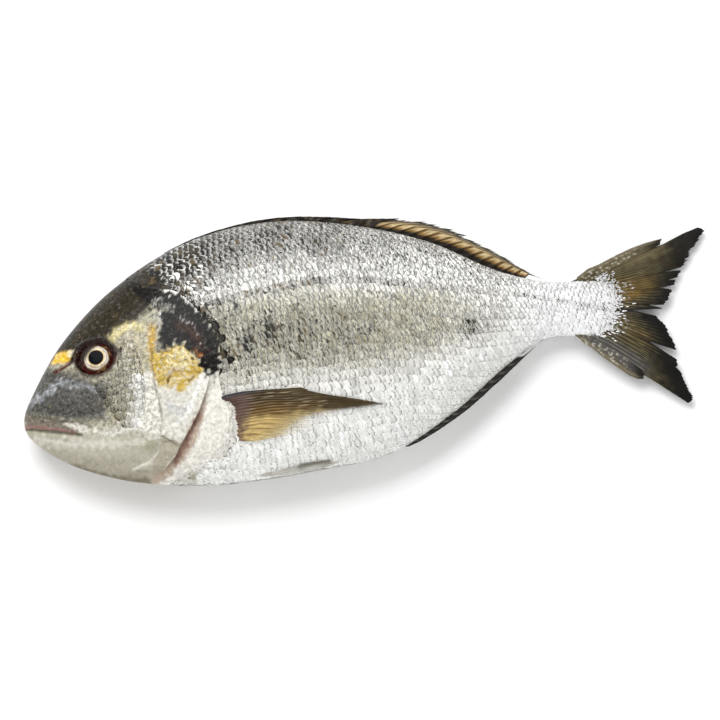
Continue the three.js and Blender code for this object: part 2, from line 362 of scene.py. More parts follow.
# %% Strokes of paint, from the first laid on to the last
STROKES = [
    patch("#a09b86", [(-160, -70), (-88, -70), (-72, -30), (-86, 3), (-88, 60), (-160, 60)], soft=3),
    patch("#2b2417", [(-160, 3), (-140, 5), (-134, 8), (-127, 9), (-124, 6), (-120, 4), (-111, 4),
          (-107, 8), (-103, 13), (-97, 16), (-91, 20), (-88, 27), (-88, 34), (-98, 60), (-160, 60)],
          soft=4),
    stroke("#211d14", [(-140, 6), (-126, 21), (-112, 33), (-98, 41)], width=7, soft=8, strength=0.75),
    patch("#4e4d49", [(-160, -13), (-150, 2), (-140, 7), (-132, 2), (-124, -2), (-117, -8), (-113, -14),
          (-115, -24), (-124, -23), (-134, -20), (-146, -15)], soft=5),
    stroke("#3c3b36", [(-147, -5), (-139, 2), (-132, 1)], width=4, soft=4, strength=0.8),
    stroke("#a9adb4", [(-144, -9), (-138, -6.5), (-131, -3)], width=2.2, soft=3, ragged=2, strength=0.75),
    stroke("#a4a7ab", [(-128, -6), (-121, -8), (-117, -11)], width=2, soft=3, ragged=2, strength=0.5),
    stroke("#3f3e39", [(-141, -15), (-130, -15), (-121, -19)], width=3, soft=5, ragged=2, strength=0.6),
    patch("#b3ae9e", [(-150, -21), (-137, -26), (-126, -30), (-112, -34), (-96, -41), (-88, -47),
          (-95, -60), (-150, -60)], soft=5),
    stroke("#958e7b", [(-146, -30), (-133, -38), (-120, -45), (-104, -49)], width=5, soft=7, strength=0.7),
    stroke("#b7b3a5", [(-124, -31), (-108, -30), (-97, -28)], width=6, soft=6, strength=0.8),
    patch("#e3e1da", [(-102, -7.8), (-93.2, -8.1), (-92.6, -17.3), (-91.8, -26.9), (-93, -34.6),
          (-99.9, -32.2), (-105.3, -29.5), (-103.6, -20.2)], soft=5, ragged=3),
    patch("#77705a", [(-114.8, -7.9), (-106.9, -8.4), (-104.6, -18.5), (-107.1, -25.3), (-112.9, -27.3),
          (-117.4, -25.3), (-119.8, -15.9)], soft=6, ragged=2, strength=0.12),
    stroke("#5d5445", [(-131.5, -38.9), (-124, -43.2), (-115.5, -46.7), (-107, -49.5), (-99.5, -51.2)],
           width=2.0, soft=1.8, strength=0.7),
    # Painted highlight: a near-white band along the lower jaw, below the mouth.
    stroke("#d6d3c8", [(-146, -24.6), (-136, -29), (-125, -32), (-112, -34.6), (-101, -35.6)], width=2.2,
           soft=3.4, ragged=1.6, strength=0.85),
    # Painted shade: darker along the jaw's lower edge.
    stroke("#8d8877", [(-126, -38.5), (-116, -41), (-104, -42.4)], width=1.5, soft=4, ragged=1.2,
           strength=0.55),
    stroke("#e9e7e0", [(-121, -27.4), (-117, -29.4), (-108, -30.4)], width=1.4, soft=1.8, ragged=1.6,
           strength=0.8),
    patch("#6b6357", LIP_TOP[:6] + MOUTH_LINE[:0:-1], soft=1.2, ragged=0.3),
    stroke("#96706a", [(-149.6, -18.5), (-143, -21), (-136, -23.6), (-129, -26.6)], width=1.2, soft=1.4,
           ragged=0.3, strength=0.85),
    patch("#c6c2b6", [(-133, -22), (-127.3, -22.9), (-122, -25.6), (-122, -28.4), (-125.4, -28.6),
          (-129, -25)], soft=1.6, ragged=0.4),
    stroke("#b5aa78", [(-108, 10), (-105, 13.5), (-99, 15), (-94, 13)], width=3.6, soft=3),
    stroke("#d8cc98", [(-107, 11.5), (-102, 14.6), (-97, 14.8)], width=1.4, soft=1.6),
    patch("#a49c82", [(-106, 9), (-97, 12), (-93, 2), (-96, -10), (-104, -4)], soft=5, strength=0.8),
    patch("#d2cfc4", [(-92.4, -8), (-100, -12), (-102, -26), (-96, -34), (-92, -30)], soft=5),
    stroke("#b8943a", [(-91.7, -9), (-91.8, 0), (-91, 7), (-89.5, 12)], width=2.6, soft=2.4),
    patch("#cfccc2", [(-92, -8), (-86, -14), (-70, -12), (-69, -16), (-79, -32), (-85, -39), (-92, -34)],
          soft=3),
    patch("#b79c48", [(-91.6, 0.5), (-85.6, 0.8), (-80.3, 2.4), (-76.4, 0.6), (-73.6, -5.4), (-70.3, -10),
          (-73, -12.6), (-78, -15.8), (-82, -18.6), (-84.2, -15.6), (-90.6, -14.5), (-91.8, -9)], soft=2.4,
          ragged=1.3),
    stroke("#d9cda2", [(-85, -2.5), (-80, -1), (-76, -4)], width=2.6, soft=2.4, ragged=3, strength=0.8),
    stroke("#d8cfae", [(-90, -8), (-85, -6), (-80, -7), (-74, -8)], width=1.4, soft=1.6, ragged=3,
           strength=0.8),
    stroke("#d4ccb2", [(-88, -15), (-82, -12), (-76, -13)], width=1.4, soft=1.6, ragged=3, strength=0.8),
    stroke("#a9adb2", [(-88, -22), (-84, -27), (-80, -24)], width=1.6, soft=2.6, ragged=2.6, strength=0.6),
    stroke("#fbfbf8", [(-86, -31), (-81, -28), (-76, -20), (-72.6, -14)], width=1.2, soft=2, ragged=1.6,
           strength=0.8),
    stroke("#b9b6ac", [(-87, -10.5), (-83, -8.4), (-79, -9.6)], width=1.6, soft=1.8, ragged=3,
           strength=0.75),
    stroke("#a9a387", [(-86, -4.4), (-81, -3.4), (-77, -6)], width=1, soft=1.2, ragged=3, strength=0.8),
    stroke("#6b5326", [(-87, -13.4), (-85.4, -10.6)], width=0.9, soft=0.8, ragged=1),
    stroke("#7a5f2c", [(-77.5, -14), (-75.6, -12.6)], width=0.9, soft=0.8, ragged=1),
    stroke("#8d6c2a", [(-89, -12), (-84, -9), (-78, -10.5), (-73, -10)], width=0.7, soft=1.2, ragged=2,
           strength=0.7),
    patch("#a39d8c", [(-93, -35), (-86, -39.5), (-89, -44.5), (-95, -49), (-100, -46), (-96, -41)],
          soft=1.5),
    stroke("#746e5e", PREOPERCLE[1:6], width=0.5, soft=0.8, ragged=0.3, strength=0.8),
    stroke("#d4d1c7", PREOPERCLE[5:], width=0.7, soft=1.2, ragged=0.3, strength=0.75),
    stroke("#6d675a", COVER_SEAM, width=0.5, soft=0.8, ragged=0.3,
           strength=0.8),
    stroke("#4a4438", LIP_TOP, width=0.7, soft=0.9, ragged=0.3, strength=0.85),
    patch("#dedbd2", [(-70.5, -12), (-64, -12), (-60, -24), (-59, -38), (-66, -46), (-84, -52), (-68, -66),
          (-98, -66), (-98, -51), (-85, -41), (-76, -28)], soft=3, ragged=1),
    patch("#b5a492", [(-72, -20), (-74.9, -26.4), (-79, -32), (-85.2, -39.4), (-88.3, -43.6),
          (-93.4, -47.3), (-99.4, -49.8), (-99.6, -52.4), (-91.8, -50.8), (-84.3, -45.6), (-78.5, -39.5),
          (-74, -30.3), (-71, -21)], soft=2),
    stroke("#7c574a", [(-75.5, -28.5), (-79.6, -35), (-83.8, -41), (-88, -45.6)], width=2.2, soft=2.2,
           strength=0.85),
    patch("#0c0a08", [(-98, 36), (-88.8, 34.4), (-82.8, 29.8), (-74.8, 24.4), (-69.6, 17), (-64.8, 11),
          (-62, 5), (-61.4, -3), (-62.4, -10.6), (-67, -15), (-70.6, -10.5), (-74.6, -3.3), (-79.4, 2.8),
          (-83.5, 0.8), (-88.4, 1.2), (-87.4, 10.4), (-85.2, 16.2), (-88.9, 21), (-94.1, 28.2)], soft=2.2,
          ragged=3.4),
    stroke("#a5a294", [(-89, 17.6), (-85, 20), (-81, 18.6)], width=1.6, soft=2, ragged=3, strength=0.75),
    stroke("#3f2010", [(-79, 12), (-73, 7), (-69.5, -2)], width=3, soft=4, ragged=3, strength=0.6),
    stroke("#a5682c", [(-73.5, -1), (-70.5, -4.4)], width=0.8, soft=1.2, ragged=1.2),
    # Painted highlights: thin pale glint streaks on the black blotch.
    stroke("#c9c8c4", [(-88, 25), (-84, 23.6), (-80, 20.6)], width=0.5, soft=0.9, ragged=2.4, strength=0.7),
    stroke("#c9c8c4", [(-77, 16), (-72.5, 9), (-70, 2)], width=0.4, soft=0.8, ragged=2.4, strength=0.6),
    patch("#e2b532", [(-135, 6.7), (-132, 11), (-128.7, 10.4), (-124.1, 9.2), (-123.7, 7.4), (-126.7, 4.9),
          (-130.1, 5.2)], soft=1.6, ragged=0.6),
    patch("#efe3c0", [(-127, 10), (-124, 9), (-124, 7), (-127, 6.6)], soft=1.6),
    stroke("#4a1512", [(-133.5, 1.9), (-130.5, 2.8), (-126.8, 4), (-124.2, 5.6)], width=1.7, soft=1.2,
           ragged=0.4),
    stroke("#1d1610", [(-125, 5), (-123, 8.6), (-119, 11.4), (-114, 11.6), (-109.6, 8.8), (-107, 4)],
           width=3.6, soft=2.6, ragged=0.4),
    stroke("#2d1c15", [(-124.6, 5), (-124.4, 1), (-121, -3), (-116, -5), (-110.6, -3.4), (-107.4, 0.4),
           (-106.8, 4)], width=2, soft=2, ragged=0.4),
]


# %% [markdown]
# ## Paint and pigment
#
# Skin and scales take the same paint at the same place, so the head runs into the flank with no
# step. The dark pigment is kept apart from it, as on the fish, where black cells sit in the front
# of each scale: many on the back and along the lateral line, few on the belly. A third value says
# how strongly the scales' colour is lightened and darkened by noise, a painted uneven shine of the silver.

# %% What the paint and the pigment are at a place
def height_share(points):
    """How high on the flank each place is: 0 is the belly's edge and 1 the back's."""
    back, belly = np.moveaxis(section(along_body(points[:, 0])), -1, 0)[:2]
    return (points[:, 1] - belly) / np.maximum(back - belly, 1e-6)


def paint_at(points):
    """The skin's own colour at each place of the flank, as linear red, green and blue."""
    height = height_share(points)
    colours = plain_colour(points, "#f1f0ea")
    band = fade(height, 0.24, 0.46) * (1 - fade(height, 0.6, 0.74))
    band = band * (0.8 + 0.25 * ripple(points, 16, 9))
    colours = lay(colours, "#b3ad92", np.clip(band, 0, 1) * (1 - fade(points[:, 0], 20, 70)) * 0.95)
    colours = lay(colours, "#c9c7bc", fade(height, 0.86, 1.0) * 0.4)
    colours = lay(colours, "#f2f2ee", 1 - fade(height, 0.16, 0.36))
    colours = lay(colours, "#fdfdff", fade(points[:, 0], 55, 85) * 0.9)
    return lay_strokes(points, colours, STROKES)


def markings(points):
    """How strongly the bare skin is mottled: fully on the cheek, hardly on the smooth jaw."""
    behind = fade(points[:, 0], -93, -89) * fade(-points[:, 1], 4, 14)
    return (0.25 + 0.75 * fade(patch_distance(points, SMOOTH_JAW), -1, 6)) * (1 - 0.5 * behind)


CHEEK_END_X = -94
DARK_SPOTS = ((-54, 15, 2.0), (-41, 3.7, 2.6), (-52, -1, 2.6), (45, -4, 3.6))


def darkness_at(points):
    """How much dark pigment the scales carry at each place, from 0 to 1."""
    height = height_share(points)
    middle_band = fade(height, 0.22, 0.5) * (1 - fade(height, 0.52, 0.72))
    dark = 0.2 + 0.44 * fade(height, 0.6, 0.92) + 0.36 * middle_band
    dark = dark * (1 - 0.6 * fade(points[:, 0], -30, 50))
    dark += 0.3 * fade(-points[:, 0], 45, 75) * fade(height, 0.52, 0.68)
    dark += 0.1 * ripple(points, 30, 5) + 0.14 * ripple(points * [1, 2.5], 12, 6)
    near_line = np.exp(-(line_distance(points, LATERAL_LINE) / 1.3) ** 2)
    dark += 0.55 * near_line * (0.55 + 0.45 * ripple(points, 6, 8))
    on_cheek = 0.42 - 0.3 * fade(points[:, 0], -108, -99)
    dark = np.where(points[:, 0] < CHEEK_END_X, on_cheek, dark)
    for x, y, radius in DARK_SPOTS:
        dark += 0.6 * np.exp(-(np.hypot(points[:, 0] - x, (points[:, 1] - y) / 1.5) / radius) ** 2)
    return np.clip(dark, 0, 1)


def contrast_at(points):
    """How uneven the scales' painted shine is at each place: strong on the back, weak on the belly."""
    height = height_share(points)
    contrast = 0.26 + 0.64 * fade(height, 0.25, 0.45) + 0.65 * fade(height, 0.7, 0.9)
    return contrast * (1 - 0.55 * fade(points[:, 0], 40, 90))


print(len(STROKES), "strokes of colour are ready")

# %% [markdown]
# ## The skin
#
# Under the scales lies one closed skin. It could be sculpted by hand, but a ball whose rings
# are drawn out along the fish is quick, has no seam, and closes at the snout and the tail.
# Its creases are then pressed in where the bones meet: lips, eye sockets, cheek and throat.

# %% Skin shape
SKIN_SEGMENTS = 256
SKIN_RINGS = 250
SKIN_INSET = -0.35
SIDE_CROWDING = 0.35
RING_SHARES = ((0, -150), (0.06, -148.6), (0.57, -62), (0.92, 100), (1, 111))
FLAT_LEVEL = 0.25
FLAT_SOFTNESS = 0.5
FLAT_SINK = 0.1
MAP_HALF_HEIGHT = 62


def press_flat(points):
    """Points below the flat level are pressed up to it, as the weight presses the flank."""
    over = points[:, 2] - FLAT_LEVEL
    points[:, 2] = FLAT_LEVEL + (over + np.sqrt(over ** 2 + FLAT_SOFTNESS ** 2)) / 2 - FLAT_SINK
    return points


def bump(distance, reach):
    """1 on a line or point, and softly 0 a few reaches away."""
    return np.exp(-(distance / reach) ** 2)


def eye_distance(points):
    """Distance from the eye's middle, where 1 is the rim of the socket, and height above it in mm."""
    away = points - np.array(EYE)
    along = away @ np.array([math.cos(EYE_TILT), math.sin(EYE_TILT)])
    across = away @ np.array([-math.sin(EYE_TILT), math.cos(EYE_TILT)])
    return np.hypot(along / SOCKET_LENGTH, across / SOCKET_HEIGHT), across


NOSTRIL_CREASE = [(-133.5, 1.9), (-128, 3.6), (-124.4, 5.4)]
CHEEK_HOLLOW = [(-126, -5), (-122, -17), (-112, -29)]
CHEEK_MIDDLE = (-107, -16)
THROAT = [(-131.5, -38.6), (-124, -42.9), (-115.5, -46.4), (-107, -49.2), (-99.5, -50.9)]


def head_relief(points):
    """How far the head's skin stands out of (+) or into (-) the plain shape, in mm."""
    rim, above = eye_distance(points)
    relief = -2.7 * (1 - fade(rim, 0.78, 0.98))
    relief += (0.55 + 0.5 * fade(above, 0, 6)) * bump(rim - 1.1, 0.14)
    mouth = line_distance(points, MOUTH_LINE)
    lip_x, lip_y = np.array(MOUTH_LINE).T
    over = mouth * np.sign(points[:, 1] - np.interp(points[:, 0], lip_x, lip_y))
    at_mouth = 1 - fade(points[:, 0], -126, -122)
    relief += at_mouth * (0.75 * bump(over - 2, 1.5) + 0.45 * bump(over + 1.4, 1.1))
    relief -= 1.7 * bump(mouth, 0.55)
    relief -= 0.5 * bump(line_distance(points, LIP_TOP), 0.55)
    relief -= 0.8 * bump(line_distance(points, NOSTRIL_CREASE), 0.8)
    pre_x, pre_y = np.array(PREOPERCLE[::-1]).T
    behind = points[:, 0] - np.interp(points[:, 1], pre_y, pre_x)
    on_cheek = fade(points[:, 1], -46, -38) * (1 - fade(points[:, 1], 0, 8))
    relief += 0.95 * on_cheek * (1 - fade(behind, -0.3, 0.9)) * np.exp(np.minimum(behind, 0) / 10)
    from_middle = (points - CHEEK_MIDDLE) * [1, 0.7]
    relief += 0.9 * bump(np.hypot(from_middle[:, 0], from_middle[:, 1]), 10)
    relief -= 0.7 * bump(line_distance(points, CHEEK_HOLLOW), 3.5)
    relief -= 0.8 * bump(line_distance(points, THROAT), 0.8)
    slit = line_distance(points, OPERCLE_REAR)
    relief -= 0.9 * bump(slit - 0.6, 1.4) * fade(-points[:, 1], 4, 14)
    relief += 0.09 * ripple(points, 7, 21) + 0.08 * ripple(points, 3, 22)
    relief += 0.16 * ripple(points, 2.4, 23) * fade(points[:, 0], -96, -88)
    return relief * (1 - fade(points[:, 0], -68, -60))


def mesh_arrays(piece):
    """A piece's vertex places as an array, in its own units."""
    flat = np.empty(3 * len(piece.data.vertices))
    piece.data.vertices.foreach_get("co", flat)
    return flat.reshape(-1, 3)


def place_vertices(piece, points_mm):
    """Puts a piece's vertices at places given in mm."""
    piece.data.vertices.foreach_set("co", (np.asarray(points_mm) * MM).ravel())
    piece.data.update()


def point_values(piece, name, values):
    """Keeps a number, or a colour, at each vertex of a piece for its material to read."""
    values = np.asarray(values, float)
    if values.ndim == 1:
        piece.data.attributes.new(name, "FLOAT", "POINT").data.foreach_set("value", values)
        return
    layer = piece.data.attributes.new(name, "FLOAT_COLOR", "POINT")
    layer.data.foreach_set("color", np.column_stack([values, np.ones(len(values))]).ravel())


def outward(piece, edge_angle=50):
    """Turns all faces of a piece outward and shades it smooth, but for edges past an angle."""
    bpy.ops.object.select_all(action="DESELECT")
    piece.select_set(True)
    bpy.context.view_layer.objects.active = piece
    bpy.ops.object.mode_set(mode="EDIT")
    bpy.ops.mesh.select_all(action="SELECT")
    bpy.ops.mesh.normals_make_consistent(inside=False)
    bpy.ops.object.mode_set(mode="OBJECT")
    bpy.ops.object.shade_smooth_by_angle(angle=math.radians(edge_angle))


def make_skin():
    """The closed skin of the whole body, with the head's creases."""
    bpy.ops.mesh.primitive_uv_sphere_add(segments=SKIN_SEGMENTS, ring_count=SKIN_RINGS, radius=1)
    piece = bpy.context.object
    piece.name = "body_skin"
    ball = mesh_arrays(piece)
    share = np.arccos(np.clip(-ball[:, 2], -1, 1)) / math.pi
    x = np.interp(share, *np.array(RING_SHARES).T)
    turn = np.arctan2(ball[:, 1], ball[:, 0])
    side = np.where(turn >= 0, LEFT, RIGHT)
    angle = np.abs(turn)
    angle = angle + SIDE_CROWDING * np.sin(2 * angle) / 2
    plain = skin(x, angle, side, SKIN_INSET)
    lift = SKIN_INSET + head_relief(plain[:, :2]) * fade(np.sin(angle), 0.05, 0.4)
    place_vertices(piece, press_flat(skin(x, angle, side, lift)))
    flat_places = plain[:, :2]
    rim = eye_distance(flat_places)[0]
    # The skin inside the socket is painted dark red-brown: the dark flesh round the eye, and painted shade
    # in the gap round the ball.
    point_values(piece, "paint", lay(paint_at(flat_places), "#260f0d", 1 - fade(rim, 0.92, 1.06)))
    point_values(piece, "marked", markings(flat_places))
    outward(piece, edge_angle=180)
    return piece


bpy.ops.object.select_all(action="DESELECT")
body_skin = make_skin()
print("skin:", len(body_skin.data.polygons), "faces")


def flank_map(piece):
    """A map for baking: the left flank fills the upper half, the right flank the lower."""
    mesh = piece.data
    corners = np.empty(len(mesh.loops), int)
    mesh.loops.foreach_get("vertex_index", corners)
    spot = mesh_arrays(piece) / MM
    level = section(along_body(spot[:, 0]))[:, 3]
    face_of = np.repeat(np.arange(len(mesh.polygons)), [p.loop_total for p in mesh.polygons])
    above = np.bincount(face_of, (spot[:, 2] - level)[corners]) > 0
    u = (spot[corners, 0] - SNOUT_X) / (FLESH_END_X - SNOUT_X)
    v = (spot[corners, 1] + MAP_HALF_HEIGHT) / (2 * MAP_HALF_HEIGHT) * 0.48
    v = np.where(above[face_of], v + 0.51, v + 0.01)
    layer = mesh.uv_layers.new(name="OFBake")
    layer.data.foreach_set("uv", np.column_stack([0.005 + u * 0.99, v]).ravel())


flank_map(body_skin)

# %% [markdown]
# ## Wet skin
#
# A fresh fish's skin is dull pigment and silvery guanine under a film of water and slime.
# The pigment gives the colour, the silver gives a soft broad shine, and the film a thin
# clear coat with small sharp glints; most pale glints are painted into the colour as specks,
# strongest on pale skin. Mottling is finer than any brush, so noise makes it.

# %% Skin material
WET_IOR = 1.36
MOTTLE_PER_M = 650
FLECKS_PER_M = 900
FLECK_PATCHES_PER_M = 260
PAINTED_GLINTS_PER_M = 620
PORES_PER_M = 1100


def wet_skin():
    """Painted pigment, mottled, with gold flecks and painted pale glints, under a thin wet coat."""
    material, tree, shader = new_material("wet_skin")
    place = node(tree, "TexCoord").outputs["Object"]
    paint = node(tree, "Attribute", attribute_name="paint").outputs["Color"]
    marked = node(tree, "Attribute", attribute_name="marked")
    mottle = node(tree, "TexNoise", {"Vector": place, "Scale": MOTTLE_PER_M, "Detail": 5.0,
                                     "Roughness": 0.65})
    uneven = node(tree, "MapRange", (mottle, 0.34, 0.66, -0.55, 0.5))
    light = node(tree, "Math", (uneven, marked, 1.0), operation="MULTIPLY_ADD")
    mottled = node(tree, "VectorMath", {0: paint, "Scale": light}, operation="SCALE")
    flecks = node(tree, "TexVoronoi", {"Vector": place, "Scale": FLECKS_PER_M})
    fleck = node(tree, "MapRange", (flecks, 0.16, 0.28, 1.0, 0.0))
    patches = node(tree, "TexNoise", {"Vector": place, "Scale": FLECK_PATCHES_PER_M, "Detail": 2.0})
    in_patch = node(tree, "MapRange", (patches, 0.54, 0.66, 0.0, 0.4))
    gold = node(tree, "Math", (fleck, in_patch), operation="MULTIPLY")
    flecked = node(tree, "Mix", {0: gold, 6: mottled, 7: linear("#c8ad72")}, data_type="RGBA")
    # Painted highlights: pale glint specks laid into the colour from noise, stronger on pale, marked skin.
    painted_glint_noise = node(tree, "TexNoise", {"Vector": place, "Scale": PAINTED_GLINTS_PER_M, "Detail": 5.0,
                                      "Roughness": 0.7})
    painted_glint = node(tree, "MapRange", (painted_glint_noise, 0.52, 0.68, 0.0, 1.0))
    paleness = node(tree, "RGBToBW", (paint,))
    bright = node(tree, "MapRange", (paleness, 0.0, 0.35, 0.05, 0.45))
    strength = node(tree, "Math", (bright, marked), operation="MULTIPLY")
    painted_glint_cover = node(tree, "Math", (painted_glint, strength), operation="MULTIPLY")
    pores = node(tree, "TexNoise", {"Vector": place, "Scale": PORES_PER_M, "Detail": 3.0})
    join(tree, shader, {
        "Base Color": node(tree, "Mix", {0: painted_glint_cover, 6: flecked, 7: linear("#f3f3f1")}, data_type="RGBA"),
        "Normal": node(tree, "Bump", {"Height": pores, "Strength": 0.35, "Distance": 0.0004}),
        "Roughness": 0.34, "IOR": WET_IOR, "Specular IOR Level": 0.16,
        "Coat Weight": 0.06, "Coat Roughness": 0.12,
    })
    return material


def dress(piece, material, slot, *replaced):
    """Gives a piece its material, hangs it under the root and hides the CAD parts that it replaces. The
    slot is not used.
    """
    piece.data.materials.clear()
    piece.data.materials.append(material)
    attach(piece, "root")
    if replaced:
        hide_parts(*replaced)


skin_material = wet_skin()
dress(body_skin, skin_material, "silver_skin", "body")

# %% [markdown]
# ## Scales
#
# A bream has rows of thin plates that lie over one another like tiles, each tucked under the
# one before it. They could be faked with a bump pattern, but real plates catch the light on
# their rims and throw tiny shadows. So one plate is modelled, and its copies follow the rows:
# rows run beside the lateral line and draw closer together towards the tail. The cheek has a
# field of its own, with smaller plates that stand up more steeply.

# %% One scale
SCALE_ACROSS = 4
SCALE_ALONG = 4
SCALE_CROWN = 0.06


def model_scale():
    """One plate: a rounded, crowned tile with a flat underside. Returns its points and faces."""
    bpy.ops.mesh.primitive_grid_add(x_subdivisions=SCALE_ALONG, y_subdivisions=SCALE_ACROSS, size=1)
    tile = bpy.context.object
    flat = mesh_arrays(tile)
    along, across = flat[:, 0] + 0.5, flat[:, 1] * 2
    front, rear = 0.12 * across ** 2, 1 - 0.34 * across ** 2
    shaped = np.column_stack([
        front + (rear - front) * along,
        across * (0.82 + 0.36 * along * (1 - along) * 2),
        (1 - across ** 2) * np.sin(math.pi * np.clip(along, 0, 1)),
    ])
    tile.data.vertices.foreach_set("co", shaped.ravel())
    bpy.ops.object.mode_set(mode="EDIT")
    bpy.ops.mesh.select_all(action="SELECT")
    bpy.ops.mesh.region_to_loop()
    bpy.ops.mesh.edge_face_add()
    bpy.ops.mesh.select_all(action="SELECT")
    bpy.ops.mesh.normals_make_consistent(inside=False)
    bpy.ops.object.mode_set(mode="OBJECT")
    faces = [tuple(p.vertices) for p in tile.data.polygons]
    places = np.column_stack([along, across])
    bpy.data.objects.remove(tile)
    return shaped, places, faces


scale_shape, scale_places, scale_faces = model_scale()
print("one scale:", len(scale_shape), "points,", len(scale_faces), "faces")

# %% Rows of scales
ARC_STEPS = 101
STATION_GAP = 1.5
STATION_X = np.arange(-149.0, 110.9, STATION_GAP)
COLUMN_GAPS = ((-110, 2.55), (-40, 2.5), (60, 2.2), (111, 1.7))
ROW_GAPS = ((-110, 3.3), (-30, 3.5), (40, 3.0), (80, 2.2), (111, 1.8))
FIRST_COLUMN = -124.0
LAST_COLUMN = 109
ROWS_ABOVE, ROWS_BELOW = 40, 60
OVERLAP = 2.15
ROW_OVERLAP = 0.92
DIVE = 1.3
LEAN = ((-110, 0.34), (-50, 0.3), (30, 0.12), (111, 0.04))


def arc_tables():
    """For each station, the way round the skin from the back, in mm, at even angles."""
    angles = np.linspace(0, math.pi, ARC_STEPS)
    grid = skin(STATION_X[:, None], angles[None, :], LEFT)
    steps = np.linalg.norm(np.diff(grid, axis=1), axis=2)
    arcs = np.column_stack([np.zeros(len(STATION_X)), np.cumsum(steps, axis=1)])
    shares = np.linspace(0, 1, ARC_STEPS)
    angle_rows = [np.interp(shares, arc / arc[-1], angles) for arc in arcs]
    return arcs, np.array(angle_rows)


ARCS, ANGLE_ROWS = arc_tables()


def station_share(x):
    """The station before x, and how far x is on the way to the next one."""
    place = np.clip((np.asarray(x) - STATION_X[0]) / STATION_GAP, 0, len(STATION_X) - 1.001)
    return place.astype(int), place - place.astype(int)


def angle_from_arc(x, arc):
    """The angle at a distance round the skin from the back."""
    i, part = station_share(x)
    whole = ARCS[i, -1] * (1 - part) + ARCS[i + 1, -1] * part
    spot = np.clip(arc / whole, 0, 1) * (ARC_STEPS - 1.001)
    j = spot.astype(int)
    rest = spot - j
    near = ANGLE_ROWS[i, j] * (1 - rest) + ANGLE_ROWS[i, j + 1] * rest
    far = ANGLE_ROWS[i + 1, j] * (1 - rest) + ANGLE_ROWS[i + 1, j + 1] * rest
    return near * (1 - part) + far * part


def arc_from_angle(x, angle):
    """The distance round the skin from the back to an angle."""
    i, part = station_share(x)
    steps = np.linspace(0, math.pi, ARC_STEPS)
    near = np.array([np.interp(a, steps, ARCS[k]) for a, k in zip(angle, i)])
    far = np.array([np.interp(a, steps, ARCS[k + 1]) for a, k in zip(angle, i)])
    return near * (1 - part) + far * part


def by_place(table, x):
    """A measure that changes from snout to tail, at x."""
    return np.interp(x, *np.array(table).T)


def scale_grid(size=1.0):
    """The middle of every scale of one flank: x, distance round, and the gaps there."""
    columns = [FIRST_COLUMN]
    while columns[-1] < LAST_COLUMN:
        columns.append(columns[-1] + float(by_place(COLUMN_GAPS, columns[-1])) * size)
    columns = np.array(columns)
    line_x, line_y = np.array(LATERAL_LINE).T
    slope = (line_y[1] - line_y[0]) / (line_x[1] - line_x[0])
    line = np.interp(columns, line_x, line_y)
    line = np.where(columns < line_x[0], line_y[0] + slope * (columns - line_x[0]), line)
    middle = arc_from_angle(columns, angle_at(columns, line))
    found = []
    for row in range(-ROWS_ABOVE, ROWS_BELOW):
        gap = by_place(ROW_GAPS, columns) * size
        arc = middle + row * gap
        x = columns + (row % 2) * by_place(COLUMN_GAPS, columns) * size / 2
        x = x + by_place(LEAN, columns) * (arc - middle)
        gap = by_place(ROW_GAPS, x) * size
        whole = ARCS[station_share(x)[0], -1]
        keep = (arc > 0.2) & (arc < whole - 0.2) & (x < FLESH_END_X - 2)
        found.append(np.column_stack([x, arc, by_place(COLUMN_GAPS, x) * size, gap])[keep])
    return np.concatenate(found)


def lay_scales(name, grid, side, lift, tilt, shows, seed):
    """Copies the scale to every place of the grid. Where it doesn't show, it dives under the skin."""
    source = np.random.default_rng(seed)
    count, size = len(grid), len(scale_shape)
    x0, arc0, column, row = (grid[:, k][:, None] for k in range(4))
    jitter = source.normal(0, 1, (count, 6))
    middles = skin(grid[:, 0], angle_from_arc(grid[:, 0], grid[:, 1]), LEFT)[:, :2]
    tilt = tilt * (0.5 + 0.5 * contrast_at(middles))[:, None]
    along = (scale_shape[:, 0][None] - 0.55) * column * OVERLAP * (1 + 0.05 * jitter[:, :1])
    across = scale_shape[:, 1][None] * row * ROW_OVERLAP * (1 + 0.06 * jitter[:, 4:5])
    turn = by_place(LEAN, x0) + 0.09 * jitter[:, 5:6]
    x = x0 + along + turn * across + 0.14 * jitter[:, 1:2]
    arc = np.abs(arc0 + across - 0.4 * turn * along + 0.14 * jitter[:, 2:3])
    whole = ARCS[station_share(x)[0], -1]
    arc = np.where(arc > whole, 2 * whole - arc, arc)
    height = lift + tilt * scale_shape[:, 0][None] * (1 + 0.16 * jitter[:, 3:4]) \
        + SCALE_CROWN * scale_shape[:, 2][None]
    angle = angle_from_arc(x.ravel(), arc.ravel())
    under = skin(x.ravel(), angle, LEFT)[:, :2]
    height = height.ravel() + head_relief(under)
    height -= DIVE * (1 - fade(shows(under), -1.2, 1.4))
    points = skin(x.ravel(), angle, side, height)
    return raise_scales(name, points.reshape(count, size, 3), side, source)


def raise_scales(name, points, side, source):
    """One mesh of scales whose points are given scale by scale, with what their material reads."""
    count, size = points.shape[:2]
    mesh = bpy.data.meshes.new(name)
    faces = [[v + base for v in face[::side]]
             for base in range(0, count * size, size) for face in scale_faces]
    mesh.from_pydata((press_flat(points.reshape(-1, 3)) * MM).tolist(), [], faces)
    piece = bpy.data.objects.new(name, mesh)
    bpy.context.scene.collection.objects.link(piece)
    flat = points[..., :2].mean(axis=1)
    tint = paint_at(flat) * (1 + 0.08 * source.normal(0, 1, (count, 1)))
    point_values(piece, "paint", np.repeat(np.clip(tint, 0, 1), size, axis=0))
    point_values(piece, "dark", np.repeat(darkness_at(flat), size))
    point_values(piece, "contrast", np.repeat(contrast_at(flat), size))
    point_values(piece, "chance", np.repeat(source.uniform(0, 1, count), size))
    point_values(piece, "along", np.tile(scale_places[:, 0], count))
    point_values(piece, "across", np.tile(scale_places[:, 1], count))
    cell_map(piece, count, size)
    mesh.polygons.foreach_set("use_smooth", [face.loop_total == 4 for face in mesh.polygons])
    return piece


